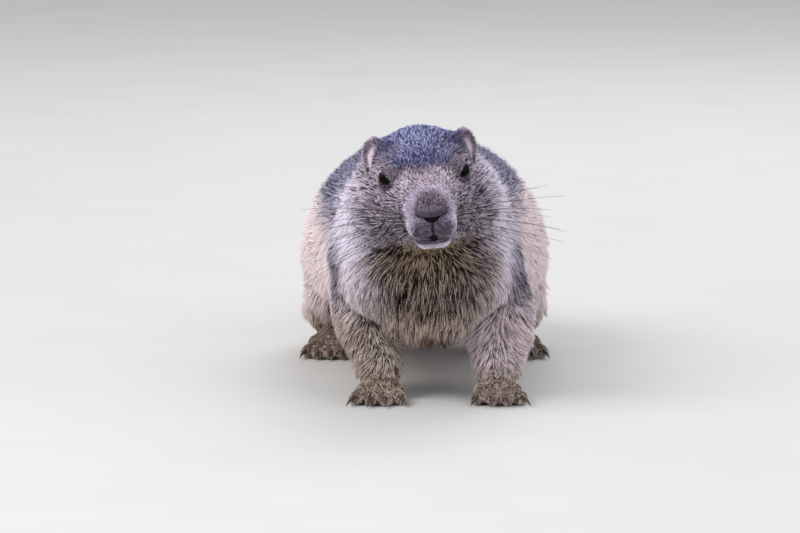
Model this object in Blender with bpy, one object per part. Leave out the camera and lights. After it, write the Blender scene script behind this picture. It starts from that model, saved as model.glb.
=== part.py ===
"""An adult alpine marmot, life size, as a still museum model.

It stands on all four feet, low and broad, with its head forward and a little down, turned and
tipped slightly to one side. The flesh is modelled whole from a few masses, fused, and then parted
by thin cuts into head, neck, torso, legs, feet and tail. Eyes, ears, nose and claws are separate.

Metres, +Z up. The face looks along -Y, and +X is on the viewer's right. The floor is Z = 0.
"""

import bisect
import itertools
import math
import random

import bmesh
import bpy
from mathutils import Euler, Matrix, Vector
from mathutils.bvhtree import BVHTree

# The box that the finished animal fills is centred on the origin by this shift.
BODY_SHIFT = Vector((0.004, -0.1903, 0.0))

GAP = 0.0003  # between touching pieces
VOXEL = 0.0017  # of the mesh that fuses the masses
MASS_SOFTENING = 16  # passes over head, trunk, legs and tail
FOOT_SOFTENING = 3  # passes once the toes are on
FUSED_TRIANGLES = 6400
CORE_TRIANGLES = 3700  # once the core under the locks is thinned out further
RING_POINTS = 48

# How far the tips of the locks stand off the core of the coat. The sizes below are the outline
# out to those tips, so the core lies inside it by this much.
BODY_TIPS = 0.0070
LEG_TIPS = 0.0050
CHEEK_TIPS = 0.0035
TAIL_TIPS = 0.0140

# Locks of each part: distance between roots, length, width, thickness and how far the tip stands
# off the core.
LOCK_SIZES = {
    "head": (0.0145, 0.0270, 0.0160, 0.0030, CHEEK_TIPS),
    "neck": (0.0270, 0.0440, 0.0290, 0.0040, BODY_TIPS),
    "chest": (0.0200, 0.0420, 0.0230, 0.0035, BODY_TIPS),
    "torso": (0.0360, 0.0620, 0.0400, 0.0045, BODY_TIPS),
    "upper_arm": (0.0280, 0.0420, 0.0290, 0.0040, LEG_TIPS),
    "thigh": (0.0320, 0.0520, 0.0360, 0.0045, LEG_TIPS),
    "tail": (0.0190, 0.0540, 0.0230, 0.0040, TAIL_TIPS),
}
LOCK_SEED = 3
LOCK_TRIES = 9000  # places tried for a root
LOCK_SHORTENING = (1, 0.80, 0.62, 0.46, 0.34)  # tried in turn where a lock would cross a cut
FLOOR_CLEARANCE = 0.0050

# Head: where the midpoint between the eyes is, and how the head is turned from straight ahead.
HEAD_PLACE = Vector((-0.004, -0.070, 0.166))
HEAD_YAW = math.radians(4)
HEAD_PITCH = math.radians(8.5)
HEAD_ROLL = math.radians(-6)

# Cross-sections of skull and muzzle, from the nose back. The first number is how far the section
# lies in front of the eyes; then sideways shift, top, widest level, bottom and half width.
HEAD_SECTIONS = (
    (0.0600, 0, -0.0050, -0.0130, -0.0210, 0.0090),
    (0.0570, 0, -0.0015, -0.0150, -0.0320, 0.0145),
    (0.0500, 0, 0.0015, -0.0170, -0.0385, 0.0185),
    (0.0380, 0, 0.0050, -0.0180, -0.0410, 0.0205),
    (0.0220, 0, 0.0090, -0.0190, -0.0450, 0.0240),
    (0.0080, 0, 0.0135, -0.0190, -0.0500, 0.0295),
    (-0.0060, 0, 0.0180, -0.0200, -0.0550, 0.0355),
    (-0.0220, 0, 0.0220, -0.0220, -0.0600, 0.0405),
    (-0.0380, 0, 0.0245, -0.0240, -0.0640, 0.0430),
    (-0.0550, 0, 0.0230, -0.0280, -0.0680, 0.0460),
    (-0.0720, 0, 0.0160, -0.0300, -0.0700, 0.0460),
    (-0.0860, 0, 0.0020, -0.0320, -0.0640, 0.0340),
)

# Cross-sections of the trunk from the chest's front to the rump, with the same columns. The first
# number is how far back the section lies from between the forefeet.
TRUNK_SECTIONS = (
    (-0.046, -0.001, 0.118, 0.094, 0.074, 0.026),
    (-0.038, -0.001, 0.138, 0.091, 0.058, 0.045),
    (-0.025, -0.002, 0.160, 0.089, 0.050, 0.056),
    (-0.008, -0.003, 0.177, 0.086, 0.045, 0.062),
    (0.015, -0.004, 0.185, 0.084, 0.042, 0.067),
    (0.045, -0.004, 0.185, 0.083, 0.040, 0.073),
    (0.085, -0.004, 0.181, 0.082, 0.037, 0.081),
    (0.130, -0.004, 0.177, 0.080, 0.034, 0.088),
    (0.180, -0.004, 0.172, 0.077, 0.032, 0.092),
    (0.225, -0.005, 0.165, 0.075, 0.032, 0.092),
    (0.265, -0.006, 0.153, 0.073, 0.034, 0.085),
    (0.300, -0.007, 0.136, 0.073, 0.038, 0.070),
    (0.325, -0.007, 0.118, 0.075, 0.046, 0.052),
    (0.340, -0.007, 0.102, 0.078, 0.056, 0.032),
)

# Tail: centre line points and half thicknesses, with the hair.
TAIL_POINTS = (
    ((-0.007, 0.318, 0.092), 0.024),
    ((-0.009, 0.345, 0.082), 0.024),
    ((-0.014, 0.385, 0.060), 0.027),
    ((-0.021, 0.425, 0.043), 0.029),
    ((-0.029, 0.460, 0.036), 0.028),
    ((-0.037, 0.487, 0.034), 0.020),
    ((-0.043, 0.503, 0.034), 0.008),
)

# Forelegs, from the midline outwards: wrist and foot place of each side, in X.
FORE_FOOT_X = {"left": 0.048, "right": -0.036}
HIND_FOOT_X = {"left": 0.064, "right": -0.072}

# Shoulder and elbow in X, then half thickness of upper arm and forearm, with the hair.
FORELEG_PLACES = {
    "left": (0.036, 0.050, 0.0285, 0.0215),
    "right": (-0.042, -0.047, 0.0295, 0.0180),
}
SIDES = {"left": 1, "right": -1}

EYE_RADIUS = 0.0065
EYE_CENTRE = Vector((0.0248, 0.0000, 0.0000))
EYE_AXIS = Vector((0.74, 0.62, 0.16)).normalized()
LID_HALF_WIDTH = 0.0066  # of the almond along the middle of the lid
LID_HALF_HEIGHT = 0.0047
LID_THICKNESS = 0.0030
LID_LIFT = 0.0006
EYE_LEVEL = 2  # how often the faces of the eyeball are divided

NOSE_CENTRE = Vector((0, 0.0550, -0.0095))
NOSE_RADII = Vector((0.0098, 0.0066, 0.0080))

EAR_CENTRE = Vector((0.0322, -0.0370, 0.0065))
EAR_RADII = Vector((0.0108, 0.0055, 0.0158))  # across, thickness, up
EAR_TURN = math.radians(42)  # of the cup's opening, outwards from straight ahead
EAR_LEAN = math.radians(16)  # of the tip, outwards

MATERIALS = {
    "coat_head": ((0.150, 0.140, 0.190), 0.85),
    "coat_neck": ((0.230, 0.210, 0.225), 0.85),
    "coat_body": ((0.420, 0.360, 0.350), 0.85),
    "coat_leg": ((0.300, 0.245, 0.215), 0.85),
    "coat_tail": ((0.120, 0.095, 0.085), 0.85),
    "ear_skin": ((0.400, 0.340, 0.350), 0.80),
    "nose_skin": ((0.045, 0.035, 0.045), 0.45),
    "eye": ((0.006, 0.005, 0.006), 0.08),
    "claw": ((0.040, 0.032, 0.028), 0.40),
}


def clear_scene():
    for old in list(bpy.data.objects):
        bpy.data.objects.remove(old)


def material(name):
    found = bpy.data.materials.get(name)
    if found:
        return found
    colour, roughness = MATERIALS[name]
    made = bpy.data.materials.new(name)
    made.use_nodes = True
    shader = made.node_tree.nodes["Principled BSDF"]
    shader.inputs["Base Color"].default_value = (*colour, 1)
    shader.inputs["Roughness"].default_value = roughness
    shader.inputs["Metallic"].default_value = 0
    return made


# Places

HEAD_TURN = Euler((HEAD_PITCH, HEAD_ROLL, HEAD_YAW), "YXZ").to_matrix()


def head_point(across, ahead, up):
    """A point given from between the eyes, in the head's own directions."""
    return HEAD_PLACE + BODY_SHIFT + HEAD_TURN @ Vector((across, -ahead, up))


def head_direction(across, ahead, up):
    return HEAD_TURN @ Vector((across, -ahead, up))


def body_point(x, y, z):
    return Vector((x, y, z)) + BODY_SHIFT


def fade(value, start, end):
    """0 at start, 1 at end and smooth between."""
    share = min(max((value - start) / (end - start), 0), 1)
    return share * share * (3 - 2 * share)


# Shapes

def new_object(name, mesh, finish):
    obj = bpy.data.objects.new(name, mesh)
    bpy.context.scene.collection.objects.link(obj)
    mesh.materials.clear()
    mesh.materials.append(material(finish))
    return obj


def object_from(shape, name, finish):
    mesh = bpy.data.meshes.new(name)
    shape.to_mesh(mesh)
    shape.free()
    return new_object(name, mesh, finish)


def smooth_rows(rows, steps):
    """Rows of a table with `steps` more between each two, along a smooth curve."""
    out = []
    last = len(rows) - 1
    for i in range(last):
        before, here = rows[max(i - 1, 0)], rows[i]
        after, beyond = rows[i + 1], rows[min(i + 2, last)]
        for step in range(steps):
            t = step / steps
            out.append(tuple(
                0.5 * (2 * b + (c - a) * t + (2 * a - 5 * b + 4 * c - d) * t ** 2
                       + (3 * b - a - 3 * c + d) * t ** 3)
                for a, b, c, d in zip(before, here, after, beyond)))
    out.append(rows[last])
    return out


def section_ring(row):
    """Points of one pear-shaped cross-section, as (sideways, along, up)."""
    along, shift, top, level, bottom, half_width = row
    ring = []
    for i in range(RING_POINTS):
        angle = 2 * math.pi * i / RING_POINTS
        height = (top - level) if math.sin(angle) > 0 else (level - bottom)
        ring.append((shift + half_width * math.cos(angle), along, level + height * math.sin(angle)))
    return ring


def add_loft(shape, rings):
    """Adds a closed skin through rings of points, with a point in the middle of each end."""
    loops = [[shape.verts.new(p) for p in ring] for ring in rings]
    for one, two in zip(loops, loops[1:]):
        for i in range(len(one)):
            j = (i + 1) % len(one)
            shape.faces.new((one[i], one[j], two[j], two[i]))
    for loop, turned in ((loops[0], True), (loops[-1], False)):
        middle = shape.verts.new(sum((v.co for v in loop), Vector()) / len(loop))
        for i in range(len(loop)):
            j = (i + 1) % len(loop)
            corners = (loop[j], loop[i], middle) if turned else (loop[i], loop[j], middle)
            shape.faces.new(corners)


def add_blob(shape, centre, radii, turn=None, level=3):
    """Adds an ellipsoid."""
    place = Matrix.Translation(centre)
    if turn is not None:
        place = place @ turn.to_4x4()
    bmesh.ops.create_icosphere(shape, subdivisions=level, radius=1,
                               matrix=place @ Matrix.Diagonal((*radii, 1)))


def add_limb(shape, joints, level=3):
    """Adds a chain of tapered rods with round ends, through (point, radius) joints."""
    for (start, start_radius), (end, end_radius) in zip(joints, joints[1:]):
        rod = bmesh.new()
        add_blob(rod, start, (start_radius,) * 3, level=level)
        add_blob(rod, end, (end_radius,) * 3, level=level)
        hull = bmesh.ops.convex_hull(rod, input=rod.verts[:])
        inner = {item for item in hull["geom_interior"] if isinstance(item, bmesh.types.BMVert)}
        bmesh.ops.delete(rod, geom=list(inner), context="VERTS")
        mesh = bpy.data.meshes.new("rod")
        rod.to_mesh(mesh)
        rod.free()
        shape.from_mesh(mesh)
        bpy.data.meshes.remove(mesh)


def add_tube(shape, points, radii, sides=8):
    """Adds a closed tube along points, whose radii are given point by point."""
    rings = []
    side = None
    for i, point in enumerate(points):
        ahead = (points[min(i + 1, len(points) - 1)] - points[max(i - 1, 0)]).normalized()
        if side is None:
            side = ahead.orthogonal().normalized()
        side = (side - ahead * side.dot(ahead)).normalized()
        up = ahead.cross(side)
        rings.append([
            point + radii[i] * (side * math.cos(2 * math.pi * k / sides)
                                + up * math.sin(2 * math.pi * k / sides))
            for k in range(sides)])
    add_loft(shape, rings)


def face_out(shape):
    bmesh.ops.recalc_face_normals(shape, faces=shape.faces)


def evaluated_mesh(obj):
    bpy.context.view_layer.update()
    graph = bpy.context.evaluated_depsgraph_get()
    return bpy.data.meshes.new_from_object(obj.evaluated_get(graph))


def apply_modifiers(obj):
    mesh = evaluated_mesh(obj)
    old = obj.data
    obj.modifiers.clear()
    obj.data = mesh
    bpy.data.meshes.remove(old)


def combine(obj, others, operation, solver="MANIFOLD"):
    """Unites obj with other closed objects, or cuts them from it, and removes them."""
    group = bpy.data.collections.new("group")
    bpy.context.scene.collection.children.link(group)
    for other in others:
        group.objects.link(other)
    join = obj.modifiers.new("combine", "BOOLEAN")
    join.operand_type = "COLLECTION"
    join.collection = group
    join.operation = operation
    join.solver = solver
    apply_modifiers(obj)
    for other in others:
        bpy.data.objects.remove(other)
    bpy.data.collections.remove(group)


def keep_largest(obj):
    """Keeps the closed surface that holds most, and drops scraps and sealed hollows."""
    shape = bmesh.new()
    shape.from_mesh(obj.data)
    unseen = set(shape.faces)
    pieces = []
    while unseen:
        stack = [unseen.pop()]
        piece = set(stack)
        while stack:
            for edge in stack.pop().edges:
                for face in edge.link_faces:
                    if face in unseen:
                        unseen.discard(face)
                        piece.add(face)
                        stack.append(face)
        pieces.append(piece)
    if len(pieces) > 1:
        def held(piece):
            total = 0
            for face in piece:
                corners = [v.co for v in face.verts]
                for one, two in zip(corners[1:], corners[2:]):
                    total += corners[0].dot(one.cross(two))
            return total
        pieces.sort(key=held)
        loose = [face for piece in pieces[:-1] for face in piece]
        bmesh.ops.delete(shape, geom=loose, context="FACES")
        lone = [v for v in shape.verts if not v.link_faces]
        bmesh.ops.delete(shape, geom=lone, context="VERTS")
    shape.to_mesh(obj.data)
    shape.free()


def copy_of(obj, name, finish):
    return new_object(name, obj.data.copy(), finish)


# The body, whole

def inside(radii, depth):
    """Radii of a shape that lies deeper by the reach of the locks on it."""
    return radii - Vector((depth,) * 3)


def section_inside(row, depth, depth_on_top):
    along, shift, top, level, bottom, half_width = row
    return along, shift, top - depth_on_top, level, bottom + depth, max(half_width - depth, 0.004)


def add_head(shape):
    rows = smooth_rows(HEAD_SECTIONS, 3)
    rows = [section_inside(row, CHEEK_TIPS * fade(row[0], -0.030, -0.060), 0) for row in rows]
    add_loft(shape, [[head_point(*p) for p in section_ring(row)] for row in rows])
    for side in SIDES.values():
        # Cheek ruff and its way into the neck, cheekbone, brow and upper lip of one side.
        add_blob(shape, head_point(0.0310 * side, -0.0250, -0.0300),
                 inside(Vector((0.0220, 0.0320, 0.0250)), CHEEK_TIPS), HEAD_TURN)
        add_blob(shape, head_point(0.0330 * side, -0.0520, -0.0360),
                 inside(Vector((0.0210, 0.0320, 0.0280)), CHEEK_TIPS), HEAD_TURN)
        add_blob(shape, head_point(0.0190 * side, 0.0040, -0.0140), (0.0135, 0.0220, 0.0130),
                 HEAD_TURN)
        add_blob(shape, head_point(0.0205 * side, 0.0000, 0.0048), (0.0085, 0.0140, 0.0058),
                 HEAD_TURN)
        add_blob(shape, head_point(0.0095 * side, 0.0480, -0.0220), (0.0112, 0.0115, 0.0122),
                 HEAD_TURN)
    add_blob(shape, head_point(0, 0.0430, -0.0375), (0.0115, 0.0120, 0.0062), HEAD_TURN)
    add_blob(shape, head_point(0, 0.0500, -0.0075), (0.0115, 0.0085, 0.0085), HEAD_TURN)


def add_trunk(shape):
    rows = [section_inside(row, BODY_TIPS, BODY_TIPS) for row in smooth_rows(TRUNK_SECTIONS, 3)]
    add_loft(shape, [[body_point(*p) for p in section_ring(row)] for row in rows])


def toes(foot_x, heel_y, toe_y, spread, count, radius, splay):
    """Root and tip of each toe of a foot, from the inner side to the outer."""
    made = []
    for i in range(count):
        share = i / (count - 1) * 2 - 1
        reach = 1 - 0.30 * share * share
        root = Vector((foot_x + spread * 0.62 * share, heel_y, radius * 1.35))
        tip = Vector((foot_x + spread * share + splay, heel_y + (toe_y - heel_y) * reach,
                      radius * 0.98))
        made.append((root, tip))
    return made


def fore_toes(side_name):
    foot_x = FORE_FOOT_X[side_name]
    side = SIDES[side_name]
    return [(r + BODY_SHIFT, t + BODY_SHIFT)
            for r, t in toes(foot_x, -0.026, -0.047, 0.0150, 4, 0.0050, 0.001 * side)]


def hind_toes(side_name):
    foot_x = HIND_FOOT_X[side_name]
    side = SIDES[side_name]
    return [(r + BODY_SHIFT, t + BODY_SHIFT)
            for r, t in toes(foot_x, 0.212, 0.188, 0.0165, 5, 0.0050, 0.002 * side)]


def add_foreleg(shape, side_name):
    foot_x = FORE_FOOT_X[side_name]
    shoulder_x, elbow_x, arm_radius, fore_radius = FORELEG_PLACES[side_name]
    add_limb(shape, (
        (body_point(shoulder_x, 0.018, 0.098), arm_radius - LEG_TIPS),
        (body_point(elbow_x, 0.028, 0.066), arm_radius * 0.82 - LEG_TIPS * 0.6),
        (body_point((elbow_x + foot_x) / 2, 0.010, 0.040), fore_radius),
        (body_point(foot_x, -0.008, 0.020), 0.0150),
    ))
    add_limb(shape, (
        (body_point(foot_x, -0.008, 0.016), 0.0140),
        (body_point(foot_x, -0.026, 0.0085), 0.0110),
    ))


def add_hind_leg(shape, side_name):
    side = SIDES[side_name]
    foot_x = HIND_FOOT_X[side_name]
    add_blob(shape, body_point(0.059 * side - 0.004, 0.238, 0.072),
             inside(Vector((0.033, 0.058, 0.050)), LEG_TIPS))
    add_limb(shape, (
        (body_point(0.064 * side - 0.004, 0.212, 0.056), 0.026 - LEG_TIPS),
        (body_point(foot_x, 0.250, 0.030), 0.0200),
        (body_point(foot_x, 0.276, 0.0145), 0.0130),
        (body_point(foot_x, 0.240, 0.0090), 0.0120),
        (body_point(foot_x, 0.212, 0.0080), 0.0110),
    ))


def add_feet(shape):
    """Pads and toes of all four feet."""
    for side_name in SIDES:
        add_blob(shape, body_point(FORE_FOOT_X[side_name], -0.025, 0.0080),
                 (0.0165, 0.0150, 0.0090))
        add_blob(shape, body_point(HIND_FOOT_X[side_name], 0.222, 0.0080),
                 (0.0185, 0.0200, 0.0085))
        for root, tip in fore_toes(side_name) + hind_toes(side_name):
            add_limb(shape, ((root, 0.0060), (tip, 0.0050)), level=2)


def add_tail(shape):
    add_limb(shape, [(body_point(*p), r - TAIL_TIPS * min(1, 0.5 + i * 0.5))
                     for i, (p, r) in enumerate(TAIL_POINTS) if r > TAIL_TIPS])


def fuse(obj, passes):
    """Joins all the closed shapes in one object into one surface, and softens its creases."""
    join = obj.modifiers.new("join", "REMESH")
    join.mode = "VOXEL"
    join.voxel_size = VOXEL
    soften = obj.modifiers.new("soften", "SMOOTH")
    soften.factor = 0.5
    soften.iterations = passes
    apply_modifiers(obj)


def keeps_detail(point):
    """True on the face, the ears' seats and the toes, where no locks cover the surface."""
    x, y, z = point - BODY_SHIFT
    head = y < -0.034 and z > 0.100
    toes = z < 0.016 and (y < -0.026 or 0.170 < y < 0.216)
    return head or toes


def thin_out(obj, count, weight_at):
    """Thins a mesh out to a count of triangles, and not at all where the weight is 0."""
    group = obj.vertex_groups.new(name="thin")
    for vertex in obj.data.vertices:
        group.add([vertex.index], weight_at(vertex.co), "REPLACE")
    thin = obj.modifiers.new("thin", "DECIMATE")
    thin.ratio = count / sum(len(p.vertices) - 2 for p in obj.data.polygons)
    thin.vertex_group = "thin"
    apply_modifiers(obj)
    obj.vertex_groups.clear()


def whole_body():
    """All the flesh and coat as one closed surface, cut flat at the floor."""
    masses = bmesh.new()
    add_head(masses)
    add_trunk(masses)
    for side_name in SIDES:
        add_foreleg(masses, side_name)
        add_hind_leg(masses, side_name)
    add_tail(masses)
    face_out(masses)
    body = object_from(masses, "body", "coat_body")
    fuse(body, MASS_SOFTENING)
    detailed = bmesh.new()
    detailed.from_mesh(body.data)
    add_feet(detailed)
    detailed.to_mesh(body.data)
    detailed.free()
    fuse(body, FOOT_SOFTENING)
    thin_out(body, FUSED_TRIANGLES, lambda point: 1)
    thin_out(body, CORE_TRIANGLES, lambda point: 0 if keeps_detail(point) else 1)
    floor = bmesh.new()
    bmesh.ops.create_cube(floor, size=2, matrix=Matrix.Translation((0, 0, -1)))
    combine(body, [object_from(floor, "floor", "claw")], "DIFFERENCE")
    keep_largest(body)
    return body


# Places of the cuts: outlines in (y, z), and from where to where in x

FLANK = 0.2  # past the widest point of the body
UNDER = -0.05  # past the soles


def arc(centre_y, centre_z, radius_y, radius_z, start, end, count):
    """Points (y, z) of an elliptic arc, from one angle to another in degrees."""
    points = []
    for i in range(count):
        angle = math.radians(start + (end - start) * i / (count - 1))
        points.append((centre_y + radius_y * math.cos(angle),
                       centre_z + radius_z * math.sin(angle)))
    return points


HEAD_OUTLINE = ((-0.2, 0.108), (-0.034, 0.108), (-0.012, 0.200), (-0.010, 0.25), (-0.2, 0.25))
CHEST_OUTLINE = ((-0.2, 0.043), (-0.016, 0.043), (-0.016, 0.108), (-0.2, 0.108))
NECK_OUTLINE = ((-0.2, 0.108), (0.012, 0.108), (0.040, 0.195), (0.043, 0.25), (-0.2, 0.25))
TAIL_OUTLINE = ((0.3280, -0.05), (0.60, -0.05), (0.60, 0.2), (0.3500, 0.2))
REAR_OUTLINE = ((0.1300, -0.05), (0.60, -0.05), (0.60, 0.3), (0.1300, 0.3))

# Each leg, from the foot up: outline, how far from the midline it starts, and colour.
LEG_CUTS = (
    ("forepaw", ((-0.10, UNDER), (0.012, UNDER), (0.012, 0.0200), (-0.10, 0.0200)),
     0.010, "coat_leg"),
    ("forearm", ((-0.10, 0.0), (0.060, 0.0), (0.060, 0.0430), (-0.10, 0.0430)),
     0.010, "coat_leg"),
    ("upper_arm", [(-0.022, 0.0), (0.070, 0.0)] + arc(0.024, 0.094, 0.046, 0.044, 0, 180, 9),
     0.036, "coat_body"),
    ("hind_foot", ((0.15, UNDER), (0.32, UNDER), (0.32, 0.0170), (0.15, 0.0170)),
     0.020, "coat_leg"),
    ("shank", ((0.15, 0.0), (0.32, 0.0), (0.32, 0.0310), (0.15, 0.0310)),
     0.020, "coat_leg"),
    ("thigh", [(0.176, 0.0), (0.300, 0.0)] + arc(0.238, 0.072, 0.062, 0.056, 0, 180, 10),
     0.052, "coat_body"),
)


def all_cuts():
    """Name, colour, outline and x range of each piece, in the order in which it is taken off."""
    cuts = [("head", "coat_head", HEAD_OUTLINE, -FLANK, FLANK),
            ("chest", "coat_neck", CHEST_OUTLINE, -FLANK, FLANK),
            ("neck", "coat_neck", NECK_OUTLINE, -FLANK, FLANK),
            ("tail", "coat_tail", TAIL_OUTLINE, -FLANK, FLANK)]
    for side_name, side in SIDES.items():
        for name, outline, inner, finish in LEG_CUTS:
            low, high = (inner, FLANK) if side > 0 else (-FLANK, -inner)
            cuts.append((name + "_" + side_name, finish, outline, low, high))
    cuts.append(("torso_rear", "coat_body", REAR_OUTLINE, -FLANK, FLANK))
    return cuts


def part_of(point, cuts):
    """The name of the piece that a point will belong to."""
    place = point - BODY_SHIFT
    for name, _, outline, low, high in cuts:
        if not low < place.x < high:
            continue
        count = len(outline)
        for i in range(count):
            here, after = outline[i], outline[(i + 1) % count]
            if ((after[0] - here[0]) * (place.z - here[1])
                    - (after[1] - here[1]) * (place.y - here[0])) < 0:
                break
        else:
            return name
    return "torso_front"


# Locks of the coat

def tail_direction(y):
    """The way along the tail at a distance back."""
    for (here, _), (after, _) in zip(TAIL_POINTS, TAIL_POINTS[1:]):
        if y < after[1]:
            break
    return (Vector(after) - Vector(here)).normalized()


def lie_of_coat(point):
    """The way the hair lies at a point: back along the body, and down the chest and the legs."""
    x, y, z = point - BODY_SHIFT
    away = math.copysign(1, x)
    way = Vector((0, 1, -0.15 - 0.40 * fade(z, 0.150, 0.080) * fade(z, 0.030, 0.060)))

    def blend(other, share):
        return way.lerp(Vector(other), share)
    way = blend((x * 5, 0.15, -1), fade(y, 0.030, -0.020) * fade(z, 0.170, 0.130))
    way = blend((0, 0.45, -1), fade(abs(x), 0.030, 0.045) * fade(y, 0.085, 0.050)
                * fade(z, 0.140, 0.110))
    way = blend((0, 0.75, -0.75), fade(abs(x), 0.045, 0.060) * fade(y, 0.170, 0.200)
                * fade(z, 0.130, 0.100))
    way = blend((x * 6, 0.55, -0.80), fade(y, 0.280, 0.325) * fade(y, 0.350, 0.340))
    way = blend(tail_direction(y), fade(y, 0.335, 0.350))
    way = blend(HEAD_TURN @ Vector((0.55 * away, 1, -0.55)), fade(y, -0.020, -0.040)
                * fade(z, 0.095, 0.110))
    return way.normalized()


def has_locks(point, part):
    """True where the coat is long: not on face, crown, forearms, feet and the belly's middle."""
    x, y, z = point - BODY_SHIFT
    if part.startswith(("forepaw", "forearm", "hind_foot", "shank")):
        return False
    if part == "tail" and y > TAIL_POINTS[-2][0][1] - 0.006:
        return True
    if part == "head":
        across, behind, up = HEAD_TURN.inverted() @ (point - HEAD_PLACE - BODY_SHIFT)
        return behind > 0.002 and abs(across) > 0.022 and up < -0.012
    if part.startswith("torso"):
        return z > 0.062 or abs(x) > 0.045
    return True


def lock_path(tree, root, length, lifts, turn):
    """Points and normals along the surface from a root, by the lie of the coat."""
    place, normal, _, _ = tree.find_nearest(root)
    steps = len(lifts) - 1
    path = [(place, normal)]
    for step in range(steps):
        for _ in range(2):
            way = lie_of_coat(place)
            way = (way - normal * way.dot(normal)).normalized()
            way = Matrix.Rotation(turn * (1.2 - step), 3, normal) @ way
            place, normal, _, _ = tree.find_nearest(place + way * length / steps / 2)
        path.append((place, normal))
    return path


LOCK_LIFTS = (0.0, 0.12, 0.50, 1.0)  # of the lock's underside, as shares of the tip's height
LOCK_SINKS = (0.0044, 0.0026, 0.0, 0.0)
LOCK_WIDTHS = (0.60, 1.00, 0.80, 0.0)
LOCK_UNEVENNESS = 0.0003  # each corner is off by up to this, so no two corners meet


def lock_shape(tree, root, size, turn, rng):
    """One flat lock: its root sunk in the core, its sides laid on it, its tip lifted free."""
    length, width, thickness, reach = size
    path = lock_path(tree, root, length, LOCK_LIFTS, turn)
    shape = bmesh.new()
    rings = []
    for i, (place, normal) in enumerate(path):
        lift = LOCK_LIFTS[i] * reach - LOCK_SINKS[i]
        if i == len(path) - 1:
            tip = shape.verts.new(place + normal * reach)
            break
        ahead = (path[i + 1][0] - place).normalized()
        side = normal.cross(ahead).normalized()
        ring = []
        for share in (-1, 1):
            edge, edge_normal, _, _ = tree.find_nearest(
                place + side * share * width / 2 * LOCK_WIDTHS[i])
            ring.append(shape.verts.new(edge + edge_normal * lift))
        top = lift + thickness * (0.5 if i == 0 else 1)
        ring.append(shape.verts.new(place + normal * top))
        rings.append(ring)
    shape.faces.new(rings[0])
    for one, two in zip(rings, rings[1:]):
        for i in range(3):
            j = (i + 1) % 3
            shape.faces.new((one[i], one[j], two[j], two[i]))
    for i in range(3):
        shape.faces.new((rings[-1][i], rings[-1][(i + 1) % 3], tip))
    for vert in shape.verts:
        vert.co += Vector([rng.uniform(-LOCK_UNEVENNESS, LOCK_UNEVENNESS) for _ in range(3)])
    bmesh.ops.triangulate(shape, faces=shape.faces)
    face_out(shape)
    return shape, path


def near_ear(point):
    return any((point - head_point(EAR_CENTRE.x * side, EAR_CENTRE.y, EAR_CENTRE.z)).length < 0.025
               for side in SIDES.values())


def random_place(triangles, sums, rng):
    """A point on the surface, drawn evenly by area."""
    one, two, three = triangles[bisect.bisect(sums, rng.random() * sums[-1])]
    u, v = rng.random(), rng.random()
    if u + v > 1:
        u, v = 1 - u, 1 - v
    return one + (two - one) * u + (three - one) * v


def fitting_lock(tree, root, part, size, turn, cuts, rng):
    """A lock that stays on its own piece and off the floor, made shorter if need be, or None."""
    length, width, thickness, reach = size
    for share in LOCK_SHORTENING:
        shape, path = lock_shape(tree, root, (length * share, width * (0.45 + 0.55 * share),
                                              thickness, reach * (0.4 + 0.6 * share)), turn, rng)
        spots = [place + normal * 0.003 for place, normal in path]
        low = min(vert.co.z for vert in shape.verts)
        steps = [(two[0] - one[0]).length for one, two in zip(path, path[1:])]
        if (all(part_of(spot, cuts) == part for spot in spots) and low > FLOOR_CLEARANCE
                and min(steps) > length * share / 3 * 0.55
                and not any(near_ear(vert.co) for vert in shape.verts)):
            return shape
        shape.free()
    return None


def add_locks(body, cuts):
    """Joins locks to the body, spread evenly over the parts where the coat is long."""
    rng = random.Random(LOCK_SEED)
    tree = surface_of(body)
    mesh = body.data
    mesh.calc_loop_triangles()
    triangles = [[mesh.vertices[i].co for i in t.vertices] for t in mesh.loop_triangles]
    sums = list(itertools.accumulate(t.area for t in mesh.loop_triangles))
    locks, roots = [], []
    for _ in range(LOCK_TRIES):
        root = random_place(triangles, sums, rng)
        part = part_of(root, cuts)
        if not has_locks(root, part):
            continue
        kind = part.replace("_left", "").replace("_right", "")
        kind = kind.replace("_front", "").replace("_rear", "")
        spacing, length, width, thickness, reach = LOCK_SIZES[kind]
        if any((root - other).length < (spacing + gap) / 2 for other, gap in roots):
            continue
        share = rng.uniform(0.86, 1.14)
        turn = math.radians(rng.uniform(-14, 14))
        shape = fitting_lock(tree, root, part, (length * share, width * share, thickness, reach),
                             turn, cuts, rng)
        if shape is not None:
            roots.append((root, spacing))
            locks.append(object_from(shape, "lock", "coat_body"))
    combine(body, locks, "UNION")
    keep_largest(body)


# Features of the face

def surface_of(obj):
    shape = bmesh.new()
    shape.from_mesh(obj.data)
    tree = BVHTree.FromBMesh(shape)
    shape.free()
    return tree


def seen_from(tree, origin, point, lift=0.0):
    """Where a ray from origin through point leaves the surface."""
    direction = (point - origin).normalized()
    place, normal, _, _ = tree.ray_cast(origin + direction * 0.2, -direction)
    return place + direction * lift


def lid_loop(side):
    """A closed almond round one eye, just outside the eyeball."""
    axis = head_direction(EYE_AXIS.x * side, EYE_AXIS.y, EYE_AXIS.z)
    centre = head_point(EYE_CENTRE.x * side, EYE_CENTRE.y, EYE_CENTRE.z)
    up = head_direction(0.0, 0.0, 1.0)
    up = (up - axis * up.dot(axis)).normalized()
    across = up.cross(axis)
    loop = []
    count = 14
    for i in range(count):
        angle = 2 * math.pi * i / count
        toward = (axis * EYE_RADIUS * 0.60 + across * LID_HALF_WIDTH * math.cos(angle)
                  + up * LID_HALF_HEIGHT * math.sin(angle))
        loop.append(centre + toward.normalized() * (EYE_RADIUS + LID_LIFT))
    return loop


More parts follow.
